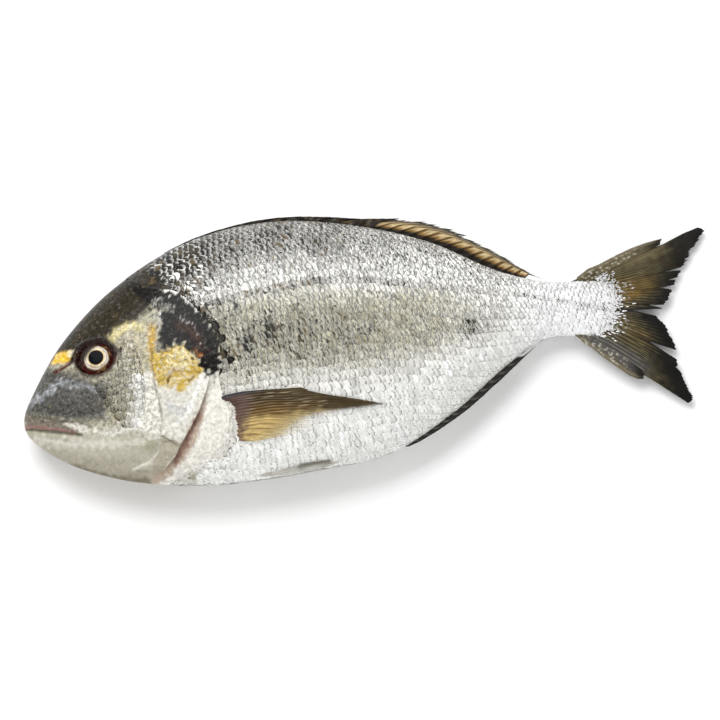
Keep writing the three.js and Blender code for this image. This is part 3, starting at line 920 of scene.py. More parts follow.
def cell_map(piece, count, size):
    """A map for baking with a cell for each scale, its underside squeezed in at one end."""
    cells = math.ceil(math.sqrt(count))
    mesh = piece.data
    corners = np.empty(len(mesh.loops), int)
    mesh.loops.foreach_get("vertex_index", corners)
    which, spot = corners // size, corners % size
    flat = np.column_stack([0.06 + 0.76 * scale_shape[spot, 0], 0.5 + 0.42 * scale_shape[spot, 1]])
    sizes = np.array([face.loop_total for face in mesh.polygons])
    under = np.repeat(sizes > 4, sizes)
    flat[under] = flat[under] * [0.12, 1] + [0.86, 0]
    cell = np.column_stack([which % cells, which // cells])
    layer = mesh.uv_layers.new(name="OFBake")
    layer.data.foreach_set("uv", ((cell + flat) / cells).ravel())


# %% Where scales show
BARE_HEAD = [(-160, -70), (-160, 60), (-104, 60), (-99, 39), (-94.5, 32.5), (-87.5, 30), (-78.5, 27.2),
             (-72.6, 20.2), (-68.8, 13), (-65.2, 8.4), (-63.6, 2), (-63.8, -8), (-66, -14), (-65.5, -22),
             (-63.5, -30), (-66, -39), (-72, -45), (-80, -49), (-90, -51.5), (-100, -54), (-103, -70)]
CHEEK = [(-119, -7), (-121, -14), (-118, -23), (-113, -30), (-104, -31), (-97, -25), (-95.5, -12),
         (-96, -2), (-98, 9), (-103, 10), (-106.5, 4), (-108, -4)]


def off_the_head(places):
    """How far places are outside the bare head, in mm."""
    return patch_distance(places, BARE_HEAD)


def on_the_cheek(places):
    """How far places are inside the scaly part of the cheek, in mm."""
    return -patch_distance(places, CHEEK)


SCALE_FIELDS = {
    "scales": {"size": 1, "lift": -0.3, "tilt": 0.13, "shows": off_the_head},
    "cheek_scales": {"size": 0.72, "lift": -0.42, "tilt": 0.36, "shows": on_the_cheek},
}
scales = []
for word, side in SIDES.items():
    for name, field in SCALE_FIELDS.items():
        grid = scale_grid(field["size"])
        middles = skin(grid[:, 0], angle_from_arc(grid[:, 0], grid[:, 1]), LEFT)[:, :2]
        grid = grid[field["shows"](middles) > -0.6]
        scales.append(lay_scales(f"{word}_{name}", grid, side, field["lift"], field["tilt"], field["shows"],
                                 seed=31 + side))
print({piece.name: len(piece.data.polygons) for piece in scales})

# %% [markdown]
# ## What scales are made of
#
# A scale is a clear horny plate over a mirror of guanine, with dark pigment cells gathered at
# its hidden front part. So the front of each exposed patch is dark olive, the rear rim carries a
# painted highlight, the silver is lightened and darkened by noise as a painted uneven shine, and
# how far the dark reaches changes from back to belly.

# %% Scale material
STREAK_LEAN = math.radians(-14)
STREAK_STRETCH = (1.0, 0.34, 0.6)
STREAKS_PER_M = 1100


def silver_scale():
    """A bright, finely streaked plate with a dark olive front part, painted uneven shine, and a painted
    highlight on its rim.
    """
    material, tree, shader = new_material("silver_scale")
    place = node(tree, "TexCoord").outputs["Object"]
    paint = node(tree, "Attribute", attribute_name="paint").outputs["Color"]
    dark, along, across, chance, contrast = [
        node(tree, "Attribute", attribute_name=name)
        for name in ("dark", "along", "across", "chance", "contrast")]
    leaning = node(tree, "VectorRotate", {"Vector": place, "Angle": STREAK_LEAN}, rotation_type="Z_AXIS")
    stretched = node(tree, "VectorMath", (leaning, STREAK_STRETCH), operation="MULTIPLY")
    grain = node(tree, "TexNoise", {"Vector": stretched, "Scale": STREAKS_PER_M, "Detail": 3.0,
                                    "Roughness": 0.75})
    spot = node(tree, "CombineXYZ", (along, across, chance))
    drawn = node(tree, "VectorMath", (spot, (9.0, 1.4, 60.0)), operation="MULTIPLY")
    ridges = node(tree, "TexNoise", {"Vector": drawn, "Scale": 1.0, "Detail": 3.0, "Roughness": 0.6})
    reach = node(tree, "Math", (dark, 1.3, -3.45), operation="MULTIPLY_ADD")
    ragged = node(tree, "Math", (ridges, 2.4, reach), operation="MULTIPLY_ADD")
    broken = node(tree, "Math", (grain, 4.2, ragged), operation="MULTIPLY_ADD")
    in_front = node(tree, "Math", (along, -0.9, broken), operation="MULTIPLY_ADD")
    pigment = node(tree, "MapRange", (in_front, 0.0, 0.22, 0.0, 1.0))
    strong = node(tree, "MapRange", (dark, 0.05, 0.5, 0.4, 1.0))
    cover = node(tree, "Math", (pigment, strong), operation="MULTIPLY")
    olive = node(tree, "ValToRGB", (chance,), stops=(
        (0.0, "#0a0805"), (0.45, "#1c170d"), (0.8, "#3a301b"), (1.0, "#5a4a2a"),
    ))
    # Painted shine: ridge and grain noise lighten and darken each plate's colour, more where contrast is
    # high.
    relief = node(tree, "Math", (ridges, grain), operation="ADD")
    uneven = node(tree, "MapRange", (relief, 0.78, 1.22, -1.0, 0.62))
    shade = node(tree, "Math", (uneven, contrast, 1.0), operation="MULTIPLY_ADD")
    plate = node(tree, "VectorMath", {0: paint, "Scale": shade}, operation="SCALE")
    patched = node(tree, "Mix", {0: cover, 6: plate, 7: olive}, data_type="RGBA")
    # Painted highlight: each plate's rear rim is laid towards near white, more on pale paint.
    rim = node(tree, "MapRange", (along, 0.78, 0.95, 0.0, 0.9))
    paleness = node(tree, "RGBToBW", (paint,))
    painted_rim_highlight = node(tree, "Math", (rim, paleness), operation="MULTIPLY")
    join(tree, shader, {
        "Base Color": node(tree, "Mix", {0: painted_rim_highlight, 6: patched, 7: linear("#f2f2ee")}, data_type="RGBA"),
        "Normal": node(tree, "Bump", {"Height": relief, "Strength": 0.6, "Distance": 0.0005}),
        "Metallic": 0.12, "Roughness": 0.3, "Specular IOR Level": 0.22,
        "Coat Weight": 0.08, "Coat Roughness": 0.15,
    })
    return material


scale_material = silver_scale()
for piece in scales:
    dress(piece, scale_material, "silver_skin")

# %% [markdown]
# ## Gill covers
#
# The gill cover is a thin curved bone that lies over the gills like a lid. Its front edge is
# tucked under the cheek bone and its rear edge is free, so it is a plate of its own with a
# dark slit behind it. It is a flat grid, bent on to the flank between its two edges.

# %% Plates between two edges
def resample(line, shares):
    """Points at shares of the length of a bent line."""
    line = np.asarray(line, float)
    steps = np.concatenate([[0], np.cumsum(np.hypot(*np.diff(line, axis=0).T))])
    return np.stack([np.interp(shares, steps / steps[-1], line[:, k]) for k in (0, 1)], -1)


def flat_grid(name, columns, rows):
    """A grid of faces. Returns the piece and its points' shares across and along, from 0 to 1."""
    bpy.ops.object.select_all(action="DESELECT")
    bpy.ops.mesh.primitive_grid_add(x_subdivisions=columns, y_subdivisions=rows, size=1)
    piece = bpy.context.object
    piece.name = name
    places = mesh_arrays(piece)
    return piece, places[:, 0] + 0.5, places[:, 1] + 0.5


def thicken(piece):
    """Gives a grid a second side, with Solidify. Its points come after those of the first."""
    solid = piece.modifiers.new("thickness", "SOLIDIFY")
    solid.thickness = MM / 10
    solid.offset = 0
    bpy.ops.object.select_all(action="DESELECT")
    piece.select_set(True)
    bpy.context.view_layer.objects.active = piece
    bpy.ops.object.modifier_apply(modifier=solid.name)


COVER_COLUMNS = 70
COVER_ROWS = 130


def make_gill_cover(name, side):
    """A thin curved bone with a free rear edge that stands off the flank."""
    piece, along, down = flat_grid(name, COVER_COLUMNS, COVER_ROWS)
    front = resample([(x - 1.2, y) for x, y in PREOPERCLE[1:]], down)
    rear = resample(OPERCLE_REAR[:-1], down)
    flat = front + (rear - front) * along[:, None]
    lift = -0.3 + 1.3 * np.sin(along * math.pi / 2) ** 0.8 + 0.25 * np.sin(along * math.pi)
    lift += 0.06 * ripple(flat, 6, 41) + 0.04 * ripple(flat, 2.5, 42)
    seam = line_distance(flat, COVER_SEAM)
    lift += 0.3 * np.sign(flat[:, 1] + 37) * bump(seam, 1.6) * fade(seam, 0, 0.5)
    lift -= 0.35 * bump(seam, 0.5)
    lift *= fade(down, 0, 0.06) * 0.6 + 0.4
    angle = angle_at(flat[:, 0], flat[:, 1])
    thickness = 0.9 * (1 - fade(along, 0.93, 1) * 0.8)
    thicken(piece)
    upper = skin(flat[:, 0], angle, side, lift)
    lower = skin(flat[:, 0], angle, side, lift - thickness)
    place_vertices(piece, press_flat(np.concatenate([upper, lower])))
    point_values(piece, "paint", np.tile(paint_at(flat), (2, 1)))
    point_values(piece, "marked", np.tile(markings(flat), 2))
    outward(piece)
    return piece


for word, side in SIDES.items():
    gill_cover = make_gill_cover(f"{word}_gill_cover", side)
    dress(gill_cover, skin_material, "silver_skin")
print("each gill cover:", len(gill_cover.data.polygons), "faces")

# %% [markdown]
# ## Eyes
#
# The eye is a flattened ball that fills its socket: a wide black pupil with a thin gold ring,
# a silvery iris, then dark red flesh at the rim, all behind a clear wet cornea. The rings are
# painted by their distance from the middle, and the brow's shade by how far up and forward.

# %% Eyes
BALL_AT = (EYE[0] + 1.1, EYE[1] + 0.2)
EYE_RADIUS = 7.7
EYE_DEPTH = 4.3
EYE_SUNK = -2.7
RIM_RADIUS = 8.0
NEAR = 6


def frame_at(x, y, side, lift, gaze=0.0):
    """A place on the flank, the direction that it faces, and two directions along the skin."""
    place = skin(np.array([x]), angle_at(np.array([x]), np.array([y])), side, lift)[0]
    near = [skin(np.array([a]), angle_at(np.array([a]), np.array([b])), side, lift)[0]
            for a, b in ((x + NEAR, y), (x, y + NEAR))]
    rearward, upward = near[0] - place, near[1] - place
    out = np.cross(rearward, upward)
    out *= side / np.linalg.norm(out)
    out += np.array([0, 0, side * gaze])
    out /= np.linalg.norm(out)
    rearward -= out * (rearward @ out)
    rearward /= np.linalg.norm(rearward)
    return place, out, rearward, np.cross(out, rearward) * side


def make_eye(name, side):
    """A flattened ball that looks out of the flank."""
    bpy.ops.object.select_all(action="DESELECT")
    bpy.ops.mesh.primitive_uv_sphere_add(segments=96, ring_count=64, radius=1)
    piece = bpy.context.object
    piece.name = name
    ball = mesh_arrays(piece)
    place, out, rearward, upward = frame_at(*BALL_AT, side, EYE_SUNK, gaze=0.6)
    flat = ball[:, :2] * EYE_RADIUS
    points = place + np.outer(flat[:, 0], rearward) + np.outer(flat[:, 1], upward) \
        + np.outer(ball[:, 2] * EYE_DEPTH, out)
    place_vertices(piece, press_flat(points))
    away = np.where(ball[:, 2] > 0, np.hypot(flat[:, 0], flat[:, 1]), 9)
    point_values(piece, "out", away)
    point_values(piece, "rear", flat[:, 0])
    point_values(piece, "up", flat[:, 1])
    outward(piece)
    return piece


def eye_material():
    """Rings of colour about the pupil, shaded under the brow, behind a clear cornea."""
    material, tree, shader = new_material("wet_eye")
    place = node(tree, "TexCoord").outputs["Object"]
    out, rear, up = [node(tree, "Attribute", attribute_name=name) for name in ("out", "rear", "up")]
    grain = node(tree, "TexNoise", {"Vector": place, "Scale": 480.0, "Detail": 4.0})
    ragged = node(tree, "Math", (grain, 0.9, -0.45), operation="MULTIPLY_ADD")
    ring = node(tree, "Math", (out, ragged), operation="ADD")
    share = node(tree, "Math", (ring, RIM_RADIUS), operation="DIVIDE")
    rings = node(tree, "ValToRGB", (share,), stops=(
        (0.0, "#b9a06c"), (0.46, "#cfb98a"), (0.5, "#e9e3d8"), (0.565, "#a89a82"), (0.62, "#d5cec2"),
        (0.68, "#6b5a48"), (0.73, "#1c110d"), (0.84, "#4a1412"), (0.95, "#150c0b"),
    ))
    fleck = node(tree, "MapRange", (grain, 0.52, 0.6, 0.0, 0.5))
    flecked = node(tree, "Mix", {0: fleck, 6: rings, 7: linear("#8d7247")}, data_type="RGBA")
    slope = node(tree, "Math", (rear, up), operation="SUBTRACT")
    shadow = node(tree, "MapRange", (slope, -6.6, -3.4, 0.93, 0.0))
    shaded = node(tree, "Mix", {0: shadow, 6: flecked, 7: linear("#2a211b")}, data_type="RGBA")
    inner = node(tree, "Math", (out, RIM_RADIUS), operation="DIVIDE")
    pupil = node(tree, "MapRange", (inner, 0.405, 0.42, 1.0, 0.0))
    join(tree, shader, {
        "Base Color": node(tree, "Mix", {0: pupil, 6: shaded, 7: linear("#0b0d11")}, data_type="RGBA"),
        "Roughness": 0.3, "Specular IOR Level": 0.03,
        "Coat Weight": 0.03, "Coat Roughness": 0.02, "Coat IOR": 1.38,
    })
    return material


cornea = eye_material()
for word, side in SIDES.items():
    dress(make_eye(f"{word}_eye_ball", side), cornea, "eye", f"{word}_eye")

# %% [markdown]
# ## Fins
#
# A fin is a fan of bony rays joined by a thin web. It can't be cut from a flat sheet, since
# its rays spread and its free edge is torn and toothed. So guide rays are laid down in order
# from one edge to the other, a grid is stretched over them, and on both faces the rays are
# raised from the web. Towards the free edge each ray splits in two.

# %% One fin
FAN_STEPS = 60
POWERS = [(i, j) for i in range(3) for j in range(3 - i)]


def node_level(name):
    """A smoothly bent sheet through the middle of a CAD fin: its height at x and y, in mm."""
    points = np.array([tuple(v.co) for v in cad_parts[name].data.vertices]) / MM

    def terms(x, y):
        return np.stack([(x / 100) ** i * (y / 100) ** j for i, j in POWERS], -1)

    fit = np.linalg.lstsq(terms(points[:, 0], points[:, 1]), points[:, 2], rcond=None)[0]
    return lambda x, y: terms(x, y) @ fit


def on_flank(side, lift, root_x):
    """The height of a fin that lies folded on the flank and comes out of it at its root."""
    def level(x, y):
        """The flank's height, less what the root of the fin is sunk in it."""
        edge = root_x - 5 * bump(y + 23.4, 2.2) + 0.8 * ripple(np.column_stack([x, y]), 4, 59)
        return skin(x, angle_at(x, y), side, lift - 2.6 * (1 - fade(x, edge, edge + 5)))[:, 2]
    return level


def fan_places(guides, across, along):
    """Where the points of a fan are, in x and y, between guide rays."""
    shares = np.linspace(0, 1, FAN_STEPS)
    rays = np.array([resample(line, shares) for _, line in guides])
    places = np.array([place for place, _ in guides])
    columns = np.unique(np.round(across, 6))
    fans = np.clip(np.searchsorted(columns, across - 1e-5), 0, len(columns) - 1)
    laid = smooth_curve(places, rays)
    at_column = np.stack([laid(column) for column in columns])
    spot = np.clip(along, 0, 1) * (FAN_STEPS - 1.001)
    i = spot.astype(int)
    part = (spot - i)[:, None]
    return at_column[fans, i] * (1 - part) + at_column[fans, i + 1] * part


def free_edge(across, rays, notches, teeth, seed):
    """How far out the fin reaches at each place across it: torn by slits and toothed by rays."""
    source = np.random.default_rng(seed)
    reach = np.ones(len(across))
    for place, depth, half_width in notches:
        reach -= depth * np.clip(1 - np.abs(across - place) / half_width, 0, 1)
    lengths = source.uniform(0, 1, 2 * rays + 2)
    tooth = lengths[np.round(across * 2 * rays).astype(int)]
    saw = np.abs(((across * 2 * rays + 0.5) % 1) - 0.5) * 2
    rugged = fade(across, 0, 0.08) * (1 - fade(across, 0.92, 1))
    return reach - teeth * rugged * (0.6 * tooth + 0.4 * saw)


def ray_profile(across, along, rays, split, sharpness):
    """1 on the crest of a ray and 0 in the web between; past the split each ray is two."""
    single = np.abs(np.cos(math.pi * rays * across)) ** sharpness
    double = np.abs(np.cos(2 * math.pi * rays * across)) ** sharpness
    parted = fade(along, split, split + 0.2)
    return single * (1 - parted) + double * parted


def make_fin(name, guides, level, rays, columns, rows, web, ray, split=0.45, notches=(),
             teeth=0.02, wave=0.0, sharpness=3, seed=51):
    """A closed fin whose points keep their place across and along it, and how its rays lie."""
    piece, across, along = flat_grid(name, columns, rows)
    reach = free_edge(across, rays, notches, teeth, seed)
    flat = fan_places(guides, across, along * reach)
    profile = ray_profile(across, along, rays, split, sharpness)
    middle = level(flat[:, 0], flat[:, 1]) + wave * ripple(flat, 22, seed) * along
    thickness = web + (ray * (1 - 0.72 * along) * profile)
    thickness *= 1 - 0.55 * fade(along, 0.9, 1)
    thicken(piece)
    upper = np.column_stack([flat, middle + thickness / 2])
    lower = np.column_stack([flat, middle - thickness / 2])
    place_vertices(piece, press_flat(np.concatenate([upper, lower])))
    point_values(piece, "across", np.tile(across, 2))
    point_values(piece, "along", np.tile(along, 2))
    outward(piece)
    return piece, flat, across, along, profile


def paint_fin(piece, colours, clear=None):
    """Keeps a fin's colours, and how clear its web is, at its points on both faces."""
    point_values(piece, "paint", np.tile(np.clip(colours, 0, 1), (2, 1)))
    clear = np.zeros(len(colours)) if clear is None else clear
    point_values(piece, "clear", np.tile(clear, 2))


# %% [markdown]
# ## Fin skin
#
# A fin's web is thin damp skin with pigment in streaks beside its rays, and where it has none
# it is as clear as wet film. So noise is drawn out along the rays, much finer across them, and
# it varies the paint, the shine and, where the web is marked as clear, how much shows through.

# %% Fin material
def fin_material(name, streaks, roughness, coat):
    """Skin stretched over rays: streaky along the rays, and clear where the web is thin."""
    material, tree, shader = new_material(name)
    paint = node(tree, "Attribute", attribute_name="paint").outputs["Color"]
    across, along, clear = [node(tree, "Attribute", attribute_name=name)
                            for name in ("across", "along", "clear")]
    place = node(tree, "CombineXYZ", (across, along))
    drawn = node(tree, "VectorMath", (place, (streaks, 6.0, 1.0)), operation="MULTIPLY")
    streak = node(tree, "TexNoise", {"Vector": drawn, "Scale": 1.0, "Detail": 5.0, "Roughness": 0.7})
    light = node(tree, "MapRange", (streak, 0.32, 0.68, 0.45, 1.55))
    thin = node(tree, "Math", (streak, clear), operation="MULTIPLY")
    open_web = node(tree, "Math", (clear, thin), operation="ADD")
    join(tree, shader, {
        "Base Color": node(tree, "VectorMath", {0: paint, "Scale": light}, operation="SCALE"),
        "Alpha": node(tree, "Math", (1.0, open_web), operation="SUBTRACT", use_clamp=True),
        "Normal": node(tree, "Bump", {"Height": streak, "Strength": 0.4, "Distance": 0.0003}),
        "Roughness": roughness, "Specular IOR Level": 0.12,
        "Coat Weight": coat, "Coat Roughness": 0.2,
    })
    return material


dark_web = fin_material("dark_fin_web", 150.0, 0.5, 0.05)
golden_web = fin_material("golden_fin_web", 70.0, 0.45, 0.08)
pale_web = fin_material("pale_fin_web", 30.0, 0.4, 0.3)

# %% [markdown]
# ## Tail fin
#
# The tail is a forked fan, torn along some of its rays, with a thick blade of unsplit rays
# along its upper and lower edges. The guide rays give the fork and the tears, and the paint
# goes from olive at the root to black at the tips, with pale flecks of loose scales.

# %% Tail fin
TAIL_GUIDES = [
    (0.00, [(88, 12), (106, 17.6), (120, 21.6), (134.7, 25.4), (144, 29), (150.6, 30.8)]),
    (0.03, [(89, 11.5), (107, 16.6), (121, 20.6), (136, 24.8), (153, 30)]),
    (0.16, [(91, 10.5), (109, 14.6), (124, 17.6), (135, 19.4), (147, 21)]),
    (0.29, [(94, 9), (110, 11.6), (124, 13), (142.8, 15)]),
    (0.35, [(96, 7.8), (111, 9), (124, 9.8), (140.2, 11)]),
    (0.42, [(97, 6), (112, 6.4), (124, 6.6), (137, 6.6)]),
    (0.50, [(98, 3.8), (112, 3), (122, 1.6), (132.4, -1)]),
    (0.545, [(98, 2.2), (110, 0), (119, -1.6), (129.4, -3.8)]),
    (0.58, [(98, 0.8), (110, -1.8), (118, -3.8), (127.6, -5.9)]),
    (0.66, [(97, -1.2), (109, -4.2), (118, -7.6), (130.6, -12)]),
    (0.735, [(96, -3), (108, -7.2), (118, -12.8), (133.6, -22.8)]),
    (0.77, [(95, -4), (107, -9), (117, -15.8), (133.4, -27.6)]),
    (0.87, [(93, -6.5), (105, -13), (116, -21.8), (126, -30.6), (135.4, -39.4)]),
    (0.97, [(90, -9), (103, -17.2), (115, -27.4), (126, -37.4), (136.6, -45.6)]),
    (1.00, [(89, -10), (102, -18.4), (114, -28.8), (124, -37.4), (134.2, -46.4)]),
]
TAIL_SLITS = [(0.31, 0.17, 0.012), (0.375, 0.09, 0.010), (0.43, 0.15, 0.011), (0.522, 0.2, 0.010),
              (0.5625, 0.4, 0.024), (0.752, 0.33, 0.016), (0.80, 0.05, 0.008), (0.115, 0.03, 0.006)]
TAIL_STROKES = [
    stroke("#6d6349", [(108, 17), (122, 21), (136, 25)], width=5, soft=6),
    stroke("#5d4a22", [(110, 8), (118, 8), (127, 8)], width=7, soft=7, ragged=2),
    stroke("#6b4f1c", [(112, 4), (119, 5)], width=4, soft=5, ragged=2),
    stroke("#514323", [(110, -6), (118, -12), (122, -17)], width=5, soft=6, ragged=2),
    stroke("#56565a", [(98, -13), (106, -19), (114, -26), (118, -28)], width=8, soft=6, strength=0.8),
    stroke("#191714", [(152, 26), (143, 15), (136, 6), (131, -3)], width=9, soft=14, ragged=3),
    stroke("#100e0c", [(138, 25), (152, 29)], width=7, soft=8, ragged=3),
    stroke("#131110", [(121, -6), (127, -10), (130, -18)], width=9, soft=8, ragged=2),
    stroke("#0d0c0a", [(126, -26), (131, -34), (134, -43)], width=15, soft=12, ragged=3),
    stroke("#2a2824", [(112, -1.5), (126, -3)], width=2.5, soft=3),
]


def paint_tail(flat, along, profile, seed=61):
    """Olive and brown at the root, greyer below, black at the tips, with fine pale rays."""
    colours = plain_colour(flat, "#453d29")
    colours = lay_strokes(flat, colours, TAIL_STROKES)
    pale = profile ** 2 * (0.5 + 0.5 * ripple(flat, 9, seed)) * (1 - fade(along, 0.6, 0.95))
    colours = lay(colours, "#a09468", 0.5 * pale)
    colours = lay(colours, "#0d0b08", 0.45 * (1 - profile) ** 2)
    colours = lay(colours, "#0b0a08", 0.75 * fade(along + 0.12 * ripple(flat, 8, seed + 3), 0.6, 1))
    near_root = 1 - fade(along, 0.3, 0.62)
    fleck = fade(ripple(flat, 3.2, seed + 1) + 0.8 * ripple(flat, 1.6, seed + 2), 0.3, 0.45)
    middle = fade(flat[:, 1], -14, -10) * (1 - fade(flat[:, 1], 9, 12))
    return lay(colours, "#d3d2cc", fleck * near_root * middle * 0.85)


tail_level = node_level("tail_fin")
tail_web, flat, across, along, profile = make_fin(
    "tail_web", TAIL_GUIDES, tail_level, rays=30, columns=300, rows=60, web=0.35, ray=0.4,
    notches=TAIL_SLITS, teeth=0.04, wave=0.5, seed=52)
paint_fin(tail_web, paint_tail(flat, along, profile))
dress(tail_web, dark_web, "dark_fin", "tail_fin")

BLADE_LIFT = 0.45
UPPER_BLADE = [
    (0.0, [(95, 14.6), (100.4, 18.0), (106, 19.6), (113.4, 22.6), (120.8, 25.1), (127, 26.6),
           (134.7, 27.8)]),
    (1.0, [(97, 11), (106.4, 15.4), (113.9, 18.4), (123.5, 21.8), (133.4, 25.2)]),
]
LOWER_BLADE = [
    (0.0, [(92, -8), (102.5, -16.2), (109.5, -22.6), (115.8, -28.4), (117.6, -31.6)]),
    (1.0, [(90, -10), (93.4, -14.2), (97.4, -17.8), (100.9, -21.8), (105.3, -25.9), (110.5, -30.9),
           (114.1, -33.1), (117, -33.5)]),
]


def blade_level(x, y):
    """The blades lie on the web."""
    return tail_level(x, y) + BLADE_LIFT


# The third value is where across each blade its painted edge highlight runs.
TAIL_BLADES = (("upper_tail_blade", UPPER_BLADE, 0.15), ("lower_tail_blade", LOWER_BLADE, 0.85))
for name, guides, edge_highlight_at in TAIL_BLADES:
    blade, flat, across, along, profile = make_fin(
        name, guides, blade_level, rays=7, columns=56, rows=50, web=0.7, ray=0.3,
        split=2, teeth=0.02, seed=53)
    colours = paint_tail(flat, along, profile)
    # Painted highlight: a pale line along each blade's outer edge.
    colours = lay(colours, "#8d836a", 0.5 * bump(across - edge_highlight_at, 0.2))
    fleck = fade(ripple(flat * [1, 2], 4, 68) + 0.6 * ripple(flat, 1.8, 69), 0.3, 0.5)
    colours = lay(colours, "#c9c5b8", 0.7 * fleck * (1 - fade(along, 0.5, 0.9)))
    colours = lay(colours, "#1a1712", fade(along, 0.86, 0.98) * 0.8)
    paint_fin(blade, colours)
    dress(blade, dark_web, "dark_fin")
print("tail web:", len(tail_web.data.polygons), "faces")

# %% [markdown]
# ## Small scales on the root of the tail
#
# The flank's scales don't stop at a line: small ones run out along the tail's rays and thin
# out. They are the same plate, thrown at random beyond the flank's edge, each turned to lie
# along the rays of its place.

# %% Small scales on the root of the tail
TAIL_SCALE_COUNT = 700
TAIL_SCALE_EDGE = [(101, 15.5), (105, 13.5), (108.4, 9), (110.2, 5), (109.6, 1), (107.6, -4), (104.6, -8.6),
                   (100, -12)]


def tail_scales(name, side):
    """Small scales that run out over the tail's rays and thin out away from its fleshy root."""
    source = np.random.default_rng(67)
    places = resample(TAIL_SCALE_EDGE, source.uniform(0, 1, TAIL_SCALE_COUNT))
    out = np.clip(source.exponential(1.9, TAIL_SCALE_COUNT) - 1.9, -2.5, 8)
    turn = np.arctan2(places[:, 1] - 2, 24) + source.normal(0, 0.12, TAIL_SCALE_COUNT)
    places = places + np.column_stack([out * np.cos(turn), out * np.sin(turn)])
    length = source.uniform(0.6, 1.7, TAIL_SCALE_COUNT)[:, None]
    width = length * 0.19
    reach, sway = scale_shape[:, 0][None] * length, scale_shape[:, 1][None] * width
    x = places[:, :1] + reach * np.cos(turn)[:, None] - sway * np.sin(turn)[:, None]
    y = places[:, 1:] + reach * np.sin(turn)[:, None] + sway * np.cos(turn)[:, None]
    height = tail_level(x.ravel(), y.ravel()).reshape(x.shape)
    height = height + side * (0.36 + 0.1 * scale_shape[:, 0][None] + 0.05 * scale_shape[:, 2][None])
    return raise_scales(name, np.stack([x, y, height], -1), side, source)


for word, side in SIDES.items():
    dress(tail_scales(f"{word}_tail_scales", side), scale_material, "silver_skin")

# %% [markdown]
# ## Fins of the back and of the belly
#
# A resting fish folds these fins down along its ridge, so only a low strip of spines and of
# leaning rays shows. Their guide rays are worked out from the ridge: each starts in the body,
# leans back, and ends as high as the fin stands there.

# %% Fins of the back and of the belly
DORSAL_RISE = ((-80, 0.1), (-50, 0.7), (-34, 1.5), (-12, 2.2), (8, 3.6), (24, 7.4), (40, 10.2),
               (52, 11.0), (62, 9.2), (70, 5.6), (79, 1.0))
ANAL_DROP = ((12, 0.8), (26, 2.2), (44, 3.2), (56, 3.4), (66, 2.2), (73, 0.7))


def folded_guides(first_x, last_x, count, lean, edge, heights, sunk):
    """Guide rays of a fin folded back along the ridge: edge 0 is the back, 1 is the belly."""
    away = 1 if edge == 0 else -1
    guides = []
    for share in np.linspace(0, 1, count):
        x0 = first_x + (last_x - first_x) * share
        x1 = x0 + by_place(lean, share)
        xs = np.array([x0, x0 + 0.42 * (x1 - x0), x1])
        ridge = section(along_body(xs))[:, edge]
        rise = by_place(heights, xs)
        ys = ridge + away * np.array([-sunk, 0.62 * rise[1], rise[2]])
        guides.append((share, list(zip(xs, ys))))
    return guides


SPINES = folded_guides(-82, 8, 20, ((0, 6), (0.3, 13), (1, 15)), 0, DORSAL_RISE, 2.0)
SOFT_BACK = folded_guides(-12, 71, 20, ((0, 24), (0.5, 30), (0.85, 19), (1, 9)), 0, DORSAL_RISE, 2.0)
ANAL = folded_guides(8, 62, 14, ((0, 9), (1, 11)), 1, ANAL_DROP, 1.6)


def paint_back_fin(flat, across, along, profile, seed):
    """Pale cells between brown rays, over a dark band at the root and under a black margin."""
    colours = plain_colour(flat, "#8a6a38")
    cells = np.clip(1.5 * (1 - profile), 0, 1) * fade(along, 0.3, 0.4) * (1 - fade(along, 0.5, 0.8))
    colours = lay(colours, "#cdbb92", cells * (0.7 + 0.3 * ripple(flat, 5, seed)))
    colours = lay(colours, "#7c776a", 0.8 * fade(along, 0.55, 0.75))
    colours = lay(colours, "#3d2b14", np.clip(2 * profile - 0.9, 0, 1) * 0.8)
    colours = lay(colours, "#17110a", 1 - fade(along, 0.22, 0.33))
    return lay(colours, "#15120d", fade(along + 0.06 * ripple(flat, 3, seed), 0.8, 0.95) * 0.9)


spiny_fin, flat, across, along, profile = make_fin(
    "spiny_back_fin", SPINES, node_level("dorsal_fin"), rays=11, columns=176, rows=14, web=0.7, ray=1.3,
    split=2, teeth=0.14, seed=54)
colours = lay(plain_colour(flat, "#17120c"), "#3a2d1a", 0.8 * fade(ripple(flat, 5, 63), 0.1, 0.5))
paint_fin(spiny_fin, lay(colours, "#8d8570", 0.5 * fade(ripple(flat, 3, 64), 0.4, 0.6)))
dress(spiny_fin, dark_web, "dark_fin")

soft_fin, flat, across, along, profile = make_fin(
    "soft_back_fin", SOFT_BACK, node_level("dorsal_fin"), rays=17, columns=272, rows=30, web=0.35, ray=0.8,
    split=2, teeth=0.26, sharpness=4, seed=55)
paint_fin(soft_fin, paint_back_fin(flat, across, along, profile, 65))
dress(soft_fin, dark_web, "dark_fin", "dorsal_fin")

anal_fin, flat, across, along, profile = make_fin(
    "anal_web", ANAL, node_level("anal_fin"), rays=12, columns=144, rows=16, web=0.5, ray=0.9,
    split=2, teeth=0.08, seed=56)
colours = lay(plain_colour(flat, "#26241f"), "#6d6b66", 0.5 * profile ** 3)
paint_fin(anal_fin, lay(colours, "#0f0e0c", fade(along, 0.6, 0.85)))
dress(anal_fin, dark_web, "dark_fin", "anal_fin")

# %% [markdown]
# ## Fins of the sides
#
# The long pectoral fin lies back on the flank: stiff dark rays above, soft golden ones below
# that end in a clear web. Under the belly the pelvic fins are folded, pale and almost clear.
# Both follow the flank's own curve, and their roots are sunk in it along a ragged line.

